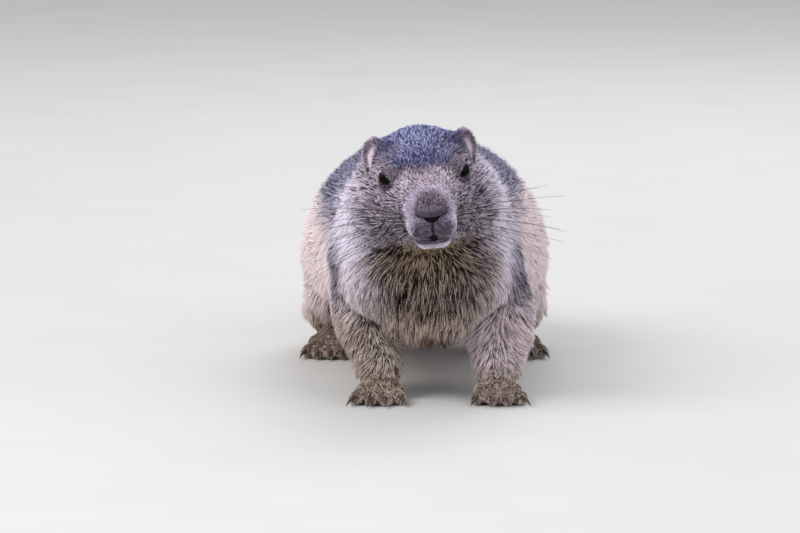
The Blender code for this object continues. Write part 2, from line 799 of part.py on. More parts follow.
def ring_tube(points, radius, sides=6):
    """A closed ring of tube through the points of a loop."""
    shape = bmesh.new()
    count = len(points)
    middle = sum(points, Vector()) / count
    loops = []
    for i, point in enumerate(points):
        ahead = (points[(i + 1) % count] - points[i - 1]).normalized()
        out = (point - middle)
        out = (out - ahead * out.dot(ahead)).normalized()
        up = ahead.cross(out)
        loops.append([
            shape.verts.new(point + radius * (out * math.cos(2 * math.pi * k / sides)
                                              + up * math.sin(2 * math.pi * k / sides)))
            for k in range(sides)])
    for i in range(count):
        one, two = loops[i], loops[(i + 1) % count]
        for k in range(sides):
            m = (k + 1) % sides
            shape.faces.new((one[k], one[m], two[m], two[k]))
    face_out(shape)
    return shape


def add_lids(body):
    rims = []
    for name, side in SIDES.items():
        rims.append(object_from(ring_tube(lid_loop(side), LID_THICKNESS / 2, 5),
                                "lid_" + name, "coat_head"))
    combine(body, rims, "UNION")


def mouth_points(tree):
    """The line of the mouth, from corner to corner round the muzzle's front."""
    middle = head_point(0, 0.034, -0.0325)
    points = []
    count = 13
    for i in range(count):
        share = i / (count - 1) * 2 - 1
        angle = math.radians(108) * share
        height = -0.0335 + 0.0035 * abs(share) ** 1.5
        aim = head_point(0.03 * math.sin(angle), 0.034 + 0.03 * math.cos(angle), height)
        points.append(seen_from(tree, middle, aim, -0.0004))
    return points


def philtrum_points(tree):
    """The groove from the nose down to the mouth."""
    points = []
    for height in (-0.0150, -0.0200, -0.0250, -0.0300, -0.0345):
        start = head_point(0, 0.0350, height)
        points.append(seen_from(tree, start, head_point(0, 0.09, height), -0.0003))
    return points


def cut_face(body):
    """Cuts the mouth, the groove under the nose, and seats for eyes and nose."""
    tree = surface_of(body)
    cutters = []
    mouth = bmesh.new()
    line = mouth_points(tree)
    ends = len(line) - 1
    radii = [0.0013 * (1 - 0.75 * (abs(i / ends * 2 - 1)) ** 4) for i in range(ends + 1)]
    add_tube(mouth, line, radii, sides=6)
    face_out(mouth)
    cutters.append(object_from(mouth, "mouth_cut", "claw"))
    groove = bmesh.new()
    line = philtrum_points(tree)
    add_tube(groove, line, [0.0008] * len(line), sides=6)
    face_out(groove)
    cutters.append(object_from(groove, "groove_cut", "claw"))
    for name, side in SIDES.items():
        seat = bmesh.new()
        add_blob(seat, head_point(EYE_CENTRE.x * side, EYE_CENTRE.y, EYE_CENTRE.z),
                 (EYE_RADIUS + GAP,) * 3, HEAD_TURN, EYE_LEVEL)
        cutters.append(object_from(seat, "eye_seat_" + name, "claw"))
    seat = bmesh.new()
    add_blob(seat, head_point(*NOSE_CENTRE), NOSE_RADII + Vector((GAP,) * 3), HEAD_TURN)
    cutters.append(object_from(seat, "nose_seat", "claw"))
    for cutter in cutters:
        combine(body, [cutter], "DIFFERENCE")


def make_eye(side_name):
    side = SIDES[side_name]
    eye = bmesh.new()
    add_blob(eye, head_point(EYE_CENTRE.x * side, EYE_CENTRE.y, EYE_CENTRE.z),
             (EYE_RADIUS,) * 3, HEAD_TURN, EYE_LEVEL)
    return object_from(eye, "eye_" + side_name, "eye")


def make_nose():
    shape = bmesh.new()
    add_blob(shape, head_point(*NOSE_CENTRE), NOSE_RADII, HEAD_TURN)
    nose = object_from(shape, "nose", "nose_skin")
    pits = []
    for side_name, side in SIDES.items():
        pit = bmesh.new()
        turn = HEAD_TURN @ Matrix.Rotation(math.radians(28) * side, 3, "Y")
        add_blob(pit, head_point(0.0047 * side, 0.0610, -0.0125), (0.0026, 0.0034, 0.0012), turn, 2)
        pits.append(object_from(pit, "nostril_" + side_name, "claw"))
    combine(nose, pits, "DIFFERENCE")
    keep_largest(nose)
    return nose


def grown(obj, name, distance):
    """A copy of a closed object, pushed out along its normals."""
    made = copy_of(obj, name, "claw")
    swell = made.modifiers.new("swell", "DISPLACE")
    swell.strength = distance
    swell.mid_level = 0
    apply_modifiers(made)
    return made


def make_ear(side_name, body):
    """A thick round ear, hollowed at the front, that meets the head at its root."""
    side = SIDES[side_name]
    turn = (HEAD_TURN @ Matrix.Rotation(EAR_TURN * side, 3, "Z")
            @ Matrix.Rotation(EAR_LEAN * side, 3, "Y"))
    centre = head_point(EAR_CENTRE.x * side, EAR_CENTRE.y, EAR_CENTRE.z)
    shape = bmesh.new()
    add_blob(shape, centre, EAR_RADII, turn)
    ear = object_from(shape, "ear_" + side_name, "ear_skin")
    hollow = bmesh.new()
    add_blob(hollow, centre + turn @ Vector((0, -0.0050, -0.0010)),
             (0.0080, 0.0062, 0.0118), turn, 2)
    cup = object_from(hollow, "ear_cup", "claw")
    combine(ear, [cup], "DIFFERENCE")
    combine(ear, [grown(body, "head_grown", GAP)], "DIFFERENCE")
    keep_largest(ear)
    return ear


# Claws

def claw_line(root, tip, length, drop):
    """Centre line of a claw that leaves a toe's tip and bends down to the floor."""
    ahead = (tip - root)
    ahead.z = 0
    ahead.normalize()
    start = tip - ahead * 0.0015 + Vector((0, 0, 0.0012))
    points = []
    count = 4
    for i in range(count):
        share = i / (count - 1)
        points.append(start + ahead * length * share
                      + Vector((0, 0, drop * (0.55 * share - 1.55 * share * share))))
    return points


def claw_shape(points, radius, grow):
    radii = [radius * (1 - 0.90 * (i / (len(points) - 1)) ** 1.3) + grow
             for i in range(len(points))]
    shape = bmesh.new()
    add_tube(shape, points, radii, sides=6)
    face_out(shape)
    return shape


def add_claws(body):
    """Claws of all four feet, each seated in its toe."""
    for side_name in SIDES:
        for foot, toe_list, length, radius in (
                ("fore", fore_toes(side_name), 0.0145, 0.0021),
                ("hind", hind_toes(side_name), 0.0115, 0.0020)):
            for i, (root, tip) in enumerate(toe_list):
                ahead = (tip - root).normalized()
                line = claw_line(root, tip + ahead * 0.0040, length, 0.0042)
                seat_line = [line[0] - (line[1] - line[0]).normalized() * GAP] + line[1:]
                seat = claw_shape(seat_line, radius, GAP)
                combine(body, [object_from(seat, "claw_seat", "claw")], "DIFFERENCE")
                object_from(claw_shape(line, radius, 0),
                            f"claw_{foot}_{side_name}_{i + 1}", "claw")


# Thin cuts that part the body

def prism(name, outline, x_low, x_high, grow):
    """A block with a convex outline in (y, z), anticlockwise seen from +X, between two X planes."""
    corners = [Vector(p) for p in outline]
    count = len(corners)
    moved = []
    for i in range(count):
        before, here, after = corners[i - 1], corners[i], corners[(i + 1) % count]
        one = (here - before).normalized()
        two = (after - here).normalized()
        out_one = Vector((one.y, -one.x))
        out_two = Vector((two.y, -two.x))
        bisector = (out_one + out_two).normalized()
        moved.append(here + bisector * grow / max(0.2, bisector.dot(out_one)))
    shape = bmesh.new()
    ends = [[shape.verts.new((x, p.x + BODY_SHIFT.y, p.y)) for p in moved]
            for x in (x_low - grow + BODY_SHIFT.x, x_high + grow + BODY_SHIFT.x)]
    shape.faces.new(ends[0])
    shape.faces.new(ends[1])
    for i in range(count):
        j = (i + 1) % count
        shape.faces.new((ends[0][i], ends[0][j], ends[1][j], ends[1][i]))
    face_out(shape)
    return object_from(shape, name, "claw")


def take(body, name, finish, outline, x_low=-0.2, x_high=0.2):
    """Parts a named piece off the body, and leaves the body without it, a thin cut apart."""
    piece = copy_of(body, name, finish)
    combine(piece, [prism("inside", outline, x_low, x_high, 0)], "INTERSECT")
    keep_largest(piece)
    combine(body, [prism("outside", outline, x_low, x_high, GAP)], "DIFFERENCE")
    keep_largest(body)
    return piece


def split_faces(obj):
    """Splits the faces into triangles, so that no two of them lie between the same corners."""
    shape = bmesh.new()
    shape.from_mesh(obj.data)
    for face in sorted(shape.faces, key=lambda face: -len(face.verts)):
        corners = list(face.verts)
        if len(corners) == 3:
            continue
        sides = {edge for edge in face.edges}
        chords = [shape.edges.get(pair) for pair in itertools.combinations(corners, 2)]
        if len(corners) < 12 and any(chord and chord not in sides for chord in chords):
            bmesh.ops.poke(shape, faces=[face])
        else:
            bmesh.ops.triangulate(shape, faces=[face])
    shape.to_mesh(obj.data)
    shape.free()


def shade(obj):
    obj.data.shade_smooth()
    obj.data.set_sharp_from_angle(angle=math.radians(50))


def main():
    clear_scene()
    cuts = all_cuts()
    body = whole_body()
    plain = copy_of(body, "plain_body", "coat_body")
    add_locks(body, cuts)
    add_lids(body)
    cut_face(body)
    for side_name in SIDES:
        make_eye(side_name)
        make_ear(side_name, plain)
    make_nose()
    add_claws(body)
    bpy.data.objects.remove(plain)
    for name, finish, outline, low, high in cuts:
        take(body, name, finish, outline, low, high)
    body.name = "torso_front"
    for obj in bpy.context.scene.objects:
        split_faces(obj)
        shade(obj)


main()
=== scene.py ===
import math

import bmesh
import bpy
import numpy as np
from mathutils import Euler, Matrix, Vector
from mathutils.bvhtree import BVHTree
from mathutils.kdtree import KDTree


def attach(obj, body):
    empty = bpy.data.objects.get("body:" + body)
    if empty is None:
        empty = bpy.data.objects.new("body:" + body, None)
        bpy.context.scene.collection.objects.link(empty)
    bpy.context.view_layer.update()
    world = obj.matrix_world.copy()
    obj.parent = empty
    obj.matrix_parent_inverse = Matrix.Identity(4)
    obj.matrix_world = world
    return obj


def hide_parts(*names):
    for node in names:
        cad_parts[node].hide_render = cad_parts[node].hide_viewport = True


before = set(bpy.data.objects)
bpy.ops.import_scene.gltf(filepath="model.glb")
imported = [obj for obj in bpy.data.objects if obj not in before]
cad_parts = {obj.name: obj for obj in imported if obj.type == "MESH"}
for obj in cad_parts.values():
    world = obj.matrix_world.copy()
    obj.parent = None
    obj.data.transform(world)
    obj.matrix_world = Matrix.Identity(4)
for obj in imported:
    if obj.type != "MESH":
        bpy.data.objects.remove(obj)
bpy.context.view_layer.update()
print("frame loaded")


# Pose: the body stands straight, the head is turned, dipped and tipped. Metres and degrees.
pose = {
    "shift": Vector((0.004, -0.1903, 0.0)),        # from the body's own zero to the frame
    "headPlace": Vector((-0.004, -0.070, 0.166)),  # midway between the eyes
    "headYaw": 4,
    "headPitch": 8.5,
    "headRoll": -6,
}
headTurn = Euler((math.radians(pose["headPitch"]), math.radians(pose["headRoll"]),
                  math.radians(pose["headYaw"])), "YXZ").to_matrix()
headOrigin = pose["headPlace"] + pose["shift"]
sides = {"left": 1, "right": -1}


def headPoint(across, ahead, up):
    return headOrigin + headTurn @ Vector((across, -ahead, up))


# The same for a place of the left half, on either side
def headPointOn(side, place):
    across, ahead, up = place
    return headPoint(across * side, ahead, up)


def bodyPoint(x, y, z):
    return Vector((x, y, z)) + pose["shift"]


# The same two systems for arrays of places, one place to a row
def inBody(places):
    return places - np.array(pose["shift"])


def inHead(places):
    return (places - np.array(headOrigin)) @ np.array(headTurn) * (1, -1, 1)


def fade(value, start, end):
    share = np.clip((value - start) / (end - start), 0, 1)
    return share * share * (3 - 2 * share)


# Fades over several named lengths, multiplied
def within(lengths, limits):
    share = 1.0
    for name, start, end in limits:
        share = share * fade(lengths[name], start, end)
    return share


# Small helpers for objects, modifiers and tubes

def objectFrom(shape, name):
    mesh = bpy.data.meshes.new(name)
    shape.to_mesh(mesh)
    shape.free()
    made = bpy.data.objects.new(name, mesh)
    bpy.context.scene.collection.objects.link(made)
    return made


def applyModifiers(piece):
    bpy.context.view_layer.update()
    graph = bpy.context.evaluated_depsgraph_get()
    mesh = bpy.data.meshes.new_from_object(piece.evaluated_get(graph))
    old = piece.data
    piece.modifiers.clear()
    piece.data = mesh
    bpy.data.meshes.remove(old)


def fuse(piece, voxel, passes):
    join = piece.modifiers.new("join", "REMESH")
    join.mode = "VOXEL"
    join.voxel_size = voxel
    soften = piece.modifiers.new("soften", "SMOOTH")
    soften.factor = 0.5
    soften.iterations = passes
    applyModifiers(piece)


def joinWith(piece, other, operation):
    join = piece.modifiers.new("join", "BOOLEAN")
    join.object = other
    join.operation = operation
    join.solver = "MANIFOLD"
    applyModifiers(piece)
    bpy.data.objects.remove(other)


# A mesh of round tubes along lines of points, each point with its own radius
def tubes(name, lines, ringed=False, roundness=2):
    curve = bpy.data.curves.new(name, "CURVE")
    curve.dimensions = "3D"
    curve.bevel_depth = 1
    curve.bevel_resolution = roundness
    curve.use_fill_caps = True
    for points, radii in lines:
        spline = curve.splines.new("POLY")
        spline.points.add(len(points) - 1)
        spline.use_cyclic_u = ringed
        for point, place, radius in zip(spline.points, points, radii):
            point.co = (*place, 1)
            point.radius = radius
    holder = bpy.data.objects.new(name, curve)
    bpy.context.scene.collection.objects.link(holder)
    bpy.context.view_layer.update()
    graph = bpy.context.evaluated_depsgraph_get()
    shape = bmesh.new()
    shape.from_mesh(bpy.data.meshes.new_from_object(holder.evaluated_get(graph)))
    bpy.data.objects.remove(holder)
    bmesh.ops.remove_doubles(shape, verts=shape.verts, dist=0.000001)
    bmesh.ops.recalc_face_normals(shape, faces=shape.faces)
    return objectFrom(shape, name)


def treeOf(piece):
    shape = bmesh.new()
    shape.from_mesh(piece.data)
    tree = BVHTree.FromBMesh(shape)
    shape.free()
    return tree


def arrayOf(items, name, size):
    values = np.empty(len(items) * size)
    items.foreach_get(name, values)
    return values.reshape(-1, size)


# Skin of the whole animal. Sections are: how far along, sideways shift, top, widest level,
# bottom and half width, all out to the tips of the coat.
skinSizes = {
    "voxel": 0.0016,
    "massSoftening": 16,
    "footSoftening": 3,
    "triangles": 120000,
    "bodyCoat": 0.0070,   # how deep the core lies under the tips of the coat
    "legCoat": 0.0050,
    "cheekCoat": 0.0035,
    "tailCoat": 0.0140,
    # How deep the skin lies under the core on the body, the head and the face, and the shares
    # of that at the ears and the feet
    "depth": (0.0010, 0.0020, 0.0011),
    "depthAtEars": 0.25,
    "depthAtFeet": 0.5,
    "head": (
        (0.0600, 0, -0.0050, -0.0130, -0.0200, 0.0082),
        (0.0570, 0, -0.0015, -0.0150, -0.0300, 0.0130),
        (0.0500, 0, 0.0015, -0.0170, -0.0365, 0.0166),
        (0.0380, 0, 0.0050, -0.0180, -0.0390, 0.0190),
        (0.0220, 0, 0.0090, -0.0190, -0.0450, 0.0240),
        (0.0080, 0, 0.0135, -0.0190, -0.0500, 0.0295),
        (-0.0060, 0, 0.0180, -0.0200, -0.0550, 0.0355),
        (-0.0220, 0, 0.0213, -0.0220, -0.0600, 0.0405),
        (-0.0380, 0, 0.0233, -0.0240, -0.0640, 0.0430),
        (-0.0550, 0, 0.0223, -0.0280, -0.0680, 0.0460),
        (-0.0720, 0, 0.0160, -0.0300, -0.0700, 0.0460),
        (-0.0860, 0, 0.0020, -0.0320, -0.0640, 0.0340),
    ),
    # Lumps of one side of the head: centre, radii and how much of the cheek's coat to take off
    "headLumps": (
        ((0.0310, -0.0250, -0.0300), (0.0220, 0.0320, 0.0250), 1),
        ((0.0330, -0.0520, -0.0360), (0.0210, 0.0320, 0.0280), 1),
        ((0.0190, 0.0040, -0.0140), (0.0135, 0.0220, 0.0130), 0),
        ((0.0205, 0.0000, 0.0048), (0.0085, 0.0140, 0.0058), 0),
        ((0.0084, 0.0480, -0.0214), (0.0100, 0.0114, 0.0102), 0),
        ((0.0038, 0.0448, -0.0346), (0.0092, 0.0118, 0.0048), 0),
        ((0.0000, 0.0520, -0.0060), (0.0120, 0.0085, 0.0074), 0),
        ((0.0190, -0.0380, 0.0070), (0.0170, 0.0280, 0.0120), 0),
    ),
    "trunk": (
        (-0.046, -0.001, 0.118, 0.094, 0.074, 0.026),
        (-0.038, -0.001, 0.138, 0.091, 0.058, 0.045),
        (-0.025, -0.002, 0.160, 0.089, 0.050, 0.056),
        (-0.008, -0.003, 0.177, 0.086, 0.045, 0.062),
        (0.015, -0.004, 0.185, 0.084, 0.042, 0.067),
        (0.045, -0.004, 0.185, 0.083, 0.040, 0.073),
        (0.085, -0.004, 0.181, 0.082, 0.037, 0.081),
        (0.130, -0.004, 0.177, 0.080, 0.034, 0.088),
        (0.180, -0.004, 0.172, 0.077, 0.032, 0.092),
        (0.225, -0.005, 0.165, 0.075, 0.032, 0.092),
        (0.265, -0.006, 0.153, 0.073, 0.034, 0.085),
        (0.300, -0.007, 0.136, 0.073, 0.038, 0.070),
        (0.325, -0.007, 0.118, 0.075, 0.046, 0.052),
        (0.340, -0.007, 0.102, 0.078, 0.056, 0.032),
    ),
    "tail": (
        ((-0.007, 0.318, 0.092), 0.024),
        ((-0.009, 0.345, 0.082), 0.024),
        ((-0.014, 0.385, 0.060), 0.027),
        ((-0.021, 0.425, 0.043), 0.029),
        ((-0.029, 0.460, 0.036), 0.028),
        ((-0.037, 0.487, 0.034), 0.020),
        ((-0.043, 0.503, 0.034), 0.008),
    ),
    "foreFootX": {"left": 0.048, "right": -0.036},
    "hindFootX": {"left": 0.064, "right": -0.072},
    # Shoulder and elbow in X, then half thickness of upper arm and forearm
    "foreleg": {
        "left": (0.036, 0.050, 0.0285, 0.0215),
        "right": (-0.042, -0.047, 0.0295, 0.0180),
    },
    # Along and up: shoulder, elbow, middle of the forearm and wrist
    "forelegJoints": ((0.018, 0.098), (0.028, 0.066), (0.010, 0.040), (-0.008, 0.020)),
    "elbowShare": (0.82, 0.6),   # of the arm's thickness and of its coat, at the elbow
    "wristRadius": 0.0150,
    # Along, up and radius of the rods from the wrist and from the knee to the toes
    "forePaw": ((-0.008, 0.016, 0.0140), (-0.026, 0.0085, 0.0110)),
    "hindFoot": ((0.250, 0.030, 0.0200), (0.276, 0.0145, 0.0130),
                 (0.240, 0.0090, 0.0120), (0.212, 0.0080, 0.0110)),
    "hipShift": -0.004,          # sideways, of both thighs
    "thigh": ((0.059, 0.238, 0.072), (0.033, 0.058, 0.050)),
    "knee": ((0.064, 0.212, 0.056), 0.026),
    # Pads of the feet: along, up and radii
    "forePad": (-0.025, 0.0080, (0.0165, 0.0150, 0.0090)),
    "hindPad": (0.222, 0.0080, (0.0185, 0.0200, 0.0085)),
    # Toes: their roots and tips along, how far they spread, how many, and how much they splay
    "foreToes": (-0.026, -0.047, 0.0150, 4, 0.001),
    "hindToes": (0.212, 0.188, 0.0165, 5, 0.002),
    "toeRadii": (0.0060, 0.0050),
    "toeHeights": (0.00675, 0.0049),
    "toeRootSpread": 0.62,
    "outerToesShorter": 0.30,
    "earMiddle": (0.0335, -0.0375, 0.0120),
}

eyeSizes = {
    "radius": 0.0065,
    "centre": Vector((0.0240, 0.0004, 0.0014)),
    "axis": Vector((0.70, 0.67, 0.14)).normalized(),
    "lidHalfWidth": 0.0046,
    "lidHalfHeight": 0.0015,
    "lidPlane": 0.60,     # how far out the opening's size is measured, in eyeball radii
    "lidRoundness": 0.30,
    "lidTilt": 22,        # of the opening, lower towards the nose
    "lidThickness": 0.0011,
    "lidRadius": 0.0005,  # of the lids' rounded edge
    "lidLift": 0.0005,
    "gap": 0.0003,
}

earSizes = {
    "centre": Vector((0.0314, -0.0360, 0.0076)),
    "radii": Vector((0.0108, 0.0050, 0.0158)),  # across, thickness, up
    "turn": 42,   # of the cup's opening, outwards from straight ahead
    "lean": -6,   # of the tip, outwards
    "cupDepth": 0.0060,
    "cupSize": 0.80,      # and its level, both as shares of the ear's radii
    "cupLevel": -0.06,
}

noseSizes = {
    "centre": Vector((0, 0.0548, -0.0112)),
    "radii": Vector((0.0112, 0.0072, 0.0074)),
    "brimLow": -0.0018,     # level of the brim over the nostrils, in the middle
    "brimRise": 0.0030,     # and how much higher it is at the sides
    "nostril": (0.0048, 0.0022, 0.0012),
    "nostrilDepth": 0.0036,
    "overhang": 0.0011,     # of the brim
    "crease": 0.0006,       # down the middle of the pad
    "narrowing": 0.40,      # of the pad's width under the brim
    # Painted shade on the pad: how dark it is along the brim, in the middle and under it; the
    # nostrils are near black
    "shades": (0.90, 0.97, 0.60),  # how dark: along the brim, in the middle and under it
}

mouthSizes = {
    "centre": (0, 0.034, -0.0325),
    "points": 29,
    "spread": 108,          # degrees to each side
    "level": -0.0324,       # of its middle, and how much higher the corners are
    "cornerRise": 0.0056,
    "cut": 0.0011,
    "grooveTop": -0.0170,   # from the nose down to the lip
    "grooveLength": 0.0150,
    "groovePoints": 9,
    "grooveCut": 0.0004,
}


# Rows in between, on smooth curves through the given ones
def smoothRows(rows, steps):
    made = []
    last = len(rows) - 1
    for i in range(last):
        before, here = rows[max(i - 1, 0)], rows[i]
        after, beyond = rows[i + 1], rows[min(i + 2, last)]
        for step in range(steps):
            t = step / steps
            made.append([0.5 * (2 * b + (c - a) * t + (2 * a - 5 * b + 4 * c - d) * t ** 2
                                + (3 * b - a - 3 * c + d) * t ** 3)
                         for a, b, c, d in zip(before, here, after, beyond)])
    return made + [list(rows[last])]


# Rings through the sections, bridged one to the next and closed at both ends
def addLoft(shape, rows, place):
    loops = []
    for along, shift, top, level, bottom, halfWidth in rows:
        ring = bmesh.ops.create_circle(shape, segments=48, radius=1)["verts"]
        loops.append(list(dict.fromkeys(edge for vert in ring for edge in vert.link_edges)))
        for vert in ring:
            height = (top - level) if vert.co.y > 0 else (level - bottom)
            vert.co = place(shift + halfWidth * vert.co.x, along, level + height * vert.co.y)
    for one, two in zip(loops, loops[1:]):
        bmesh.ops.bridge_loops(shape, edges=one + two)
    bmesh.ops.holes_fill(shape, edges=loops[0] + loops[-1])


def addBlob(shape, centre, radii, turn=None, level=4):
    place = Matrix.Translation(centre)
    if turn is not None:
        place = place @ turn.to_4x4()
    return bmesh.ops.create_icosphere(shape, subdivisions=level, radius=1,
                                      matrix=place @ Matrix.Diagonal((*radii, 1)))["verts"]


# A chain of rods with round ends, each the hull of two balls
def addLimb(shape, joints, level=3):
    for (start, startRadius), (end, endRadius) in zip(joints, joints[1:]):
        rod = bmesh.new()
        addBlob(rod, start, (startRadius,) * 3, level=level)
        addBlob(rod, end, (endRadius,) * 3, level=level)
        hull = bmesh.ops.convex_hull(rod, input=rod.verts[:])
        inner = [item for item in hull["geom_interior"] if isinstance(item, bmesh.types.BMVert)]
        bmesh.ops.delete(rod, geom=inner, context="VERTS")
        mesh = bpy.data.meshes.new("rod")
        rod.to_mesh(mesh)
        rod.free()
        shape.from_mesh(mesh)
        bpy.data.meshes.remove(mesh)


# Root and tip of each toe, those in the middle longest
def toesOf(foot, name):
    heelY, toeY, spread, count, splay = skinSizes[foot + "Toes"]
    footX, (rootUp, tipUp) = skinSizes[foot + "FootX"][name], skinSizes["toeHeights"]
    made = []
    for i in range(count):
        share = i / (count - 1) * 2 - 1
        reach = 1 - skinSizes["outerToesShorter"] * share * share
        root = bodyPoint(footX + spread * skinSizes["toeRootSpread"] * share, heelY, rootUp)
        tip = bodyPoint(footX + spread * share + splay * sides[name],
                        heelY + (toeY - heelY) * reach, tipUp)
        made.append((root, tip))
    return made


# Head, trunk, legs and tail, as they are under the coat's tips
def addMasses(shape):
    cheekCoat, bodyCoat = skinSizes["cheekCoat"], skinSizes["bodyCoat"]
    legCoat, tailCoat = skinSizes["legCoat"], skinSizes["tailCoat"]
    rows = smoothRows(skinSizes["head"], 3)
    for row in rows:
        depth = cheekCoat * fade(row[0], -0.030, -0.060)
        row[4] += depth
        row[5] -= depth
    addLoft(shape, rows, headPoint)
    for side in sides.values():
        for centre, radii, coat in skinSizes["headLumps"]:
            addBlob(shape, headPointOn(side, centre),
                    Vector(radii) - Vector((cheekCoat * coat,) * 3), headTurn)
    rows = smoothRows(skinSizes["trunk"], 3)
    for row in rows:
        row[2] -= bodyCoat
        row[4] += bodyCoat
        row[5] = max(row[5] - bodyCoat, 0.004)
    addLoft(shape, rows, bodyPoint)
    hipShift = skinSizes["hipShift"]
    for name, side in sides.items():
        footX = skinSizes["foreFootX"][name]
        shoulderX, elbowX, arm, forearm = skinSizes["foreleg"][name]
        armShare, coatShare = skinSizes["elbowShare"]
        across = (shoulderX, elbowX, (elbowX + footX) / 2, footX)
        thick = (arm - legCoat, arm * armShare - legCoat * coatShare, forearm,
                 skinSizes["wristRadius"])
        addLimb(shape, [(bodyPoint(x, y, z), radius) for x, (y, z), radius
                        in zip(across, skinSizes["forelegJoints"], thick)])
        addLimb(shape, [(bodyPoint(footX, y, z), radius) for y, z, radius in skinSizes["forePaw"]])
        footX = skinSizes["hindFootX"][name]
        (x, y, z), radii = skinSizes["thigh"]
        addBlob(shape, bodyPoint(x * side + hipShift, y, z),
                Vector(radii) - Vector((legCoat,) * 3))
        (x, y, z), radius = skinSizes["knee"]
        addLimb(shape, [(bodyPoint(x * side + hipShift, y, z), radius - legCoat)]
                + [(bodyPoint(footX, y, z), radius) for y, z, radius in skinSizes["hindFoot"]])
    addLimb(shape, [(bodyPoint(*place), radius - tailCoat * min(1, 0.5 + i * 0.5))
                    for i, (place, radius) in enumerate(skinSizes["tail"]) if radius > tailCoat])


def earPlace(side):
    return headPointOn(side, earSizes["centre"])


def earTurn(side):
    return (headTurn @ Matrix.Rotation(math.radians(earSizes["turn"]) * side, 3, "Z")
            @ Matrix.Rotation(math.radians(earSizes["lean"]) * side, 3, "Y"))


# A flattened ball whose front is pressed in to a cup
def addEar(shape, side):
    turn, place, radii = earTurn(side), earPlace(side), earSizes["radii"]
    size, level = earSizes["cupSize"], earSizes["cupLevel"]
    for vert in bmesh.ops.create_uvsphere(shape, u_segments=40, v_segments=24, radius=1)["verts"]:
        x, y, z = vert.co
        local = Vector((x * radii.x, y * radii.y, z * radii.z))
        if y < 0:
            reach = (x / size) ** 2 + ((z - level) / size) ** 2
            local.y += earSizes["cupDepth"] * fade(reach, 1, 0.35)
        vert.co = place + turn @ local


def addFeetAndEars(shape):
    atRoot, atTip = skinSizes["toeRadii"]
    for name, side in sides.items():
        for foot in ("fore", "hind"):
            along, up, radii = skinSizes[foot + "Pad"]
            addBlob(shape, bodyPoint(skinSizes[foot + "FootX"][name], along, up), radii)
        for root, tip in toesOf("fore", name) + toesOf("hind", name):
            addLimb(shape, ((root, atRoot), (tip, atTip)))
        addEar(shape, side)


# How deep the skin lies under the core: least at the eyes, lips, ears and toes
def skinDepth(places):
    y, z = inBody(places)[:, 1:].T
    across, ahead, up = inHead(places).T
    onBody, underHead, underFace = skinSizes["depth"]
    depth = np.full(len(places), onBody)
    onHead = fade(y, -0.026, -0.042) * fade(z, 0.090, 0.106)
    depth += (underHead - depth) * onHead
    depth += (underFace - depth) * onHead * fade(ahead, 0.018, 0.036)
    eye = np.sqrt((np.abs(across) - eyeSizes["centre"].x) ** 2 + ahead ** 2 + up ** 2)
    depth *= fade(eye, 0.008, 0.014)
    earX, earAhead, earUp = skinSizes["earMiddle"]
    ear = np.sqrt((np.abs(across) - earX) ** 2 + (ahead - earAhead) ** 2 + (up - earUp) ** 2)
    least = skinSizes["depthAtEars"]
    depth *= least + (1 - least) * fade(ear, 0.010, 0.020)
    least = skinSizes["depthAtFeet"]
    depth *= least + (1 - least) * fade(z, 0.010, 0.024)
    return depth


# Face, ears and toes keep their detail when the skin is thinned out
def onFineParts(places):
    y, z = inBody(places)[:, 1:].T
    return ((y < -0.034) & (z > 0.100)) | ((z < 0.020) & ((y < -0.020) | ((y > 0.17) & (y < 0.23))))


# Masses fused and softened, then feet and ears, then all drawn in under the coat
def makeSkin():
    shape = bmesh.new()
    addMasses(shape)
    bmesh.ops.recalc_face_normals(shape, faces=shape.faces)
    skin = objectFrom(shape, "skin")
    fuse(skin, skinSizes["voxel"], skinSizes["massSoftening"])
    shape = bmesh.new()
    shape.from_mesh(skin.data)
    addFeetAndEars(shape)
    shape.to_mesh(skin.data)
    shape.free()
    fuse(skin, skinSizes["voxel"], skinSizes["footSoftening"])
    places = arrayOf(skin.data.vertices, "co", 3)
    places -= arrayOf(skin.data.vertices, "normal", 3) * skinDepth(places)[:, None]
    skin.data.vertices.foreach_set("co", places.ravel())
    skin.data.update()
    group = skin.vertex_groups.new(name="plain")
    fine = onFineParts(places)
    group.add([int(i) for i in np.where(~fine)[0]], 1, "REPLACE")
    group.add([int(i) for i in np.where(fine)[0]], 0, "REPLACE")
    thin = skin.modifiers.new("thin", "DECIMATE")
    thin.ratio = skinSizes["triangles"] / (2 * len(skin.data.polygons))
    thin.vertex_group = "plain"
    applyModifiers(skin)
    skin.vertex_groups.clear()
    shape = bmesh.new()
    bmesh.ops.create_cube(shape, size=2, matrix=Matrix.Translation((0, 0, -1)))
    joinWith(skin, objectFrom(shape, "floorCut"), "DIFFERENCE")
    return skin


# Lids, mouth and groove of the face

def eyeAxis(side):
    axis = eyeSizes["axis"]
    return headTurn @ Vector((axis.x * side, -axis.y, axis.z))


def eyePlace(side):
    return headPointOn(side, eyeSizes["centre"])


# The opening's own directions: across it, up it and out of it
def lidWays(side):
    axis = eyeAxis(side)
    upward = headTurn @ Vector((0, 0, 1))
    upward = (upward - axis * upward.dot(axis)).normalized()
    tilt = Matrix.Rotation(math.radians(eyeSizes["lidTilt"]) * side, 3, axis)
    return tilt @ upward.cross(axis), tilt @ upward, axis


# The edge of the lids, an almond with its corners front and back, at a distance from the centre
def lidLine(side, reach=eyeSizes["radius"] + eyeSizes["lidLift"], count=32):
    across, upward, axis = lidWays(side)
    line = []
    for i in range(count):
        angle = 2 * math.pi * i / count
        height = math.sin(angle) * abs(math.sin(angle)) ** eyeSizes["lidRoundness"]
        toward = (axis * eyeSizes["radius"] * eyeSizes["lidPlane"]
                  + across * eyeSizes["lidHalfWidth"] * math.cos(angle)
                  + upward * eyeSizes["lidHalfHeight"] * height)
        line.append(eyePlace(side) + toward.normalized() * reach)
    return line


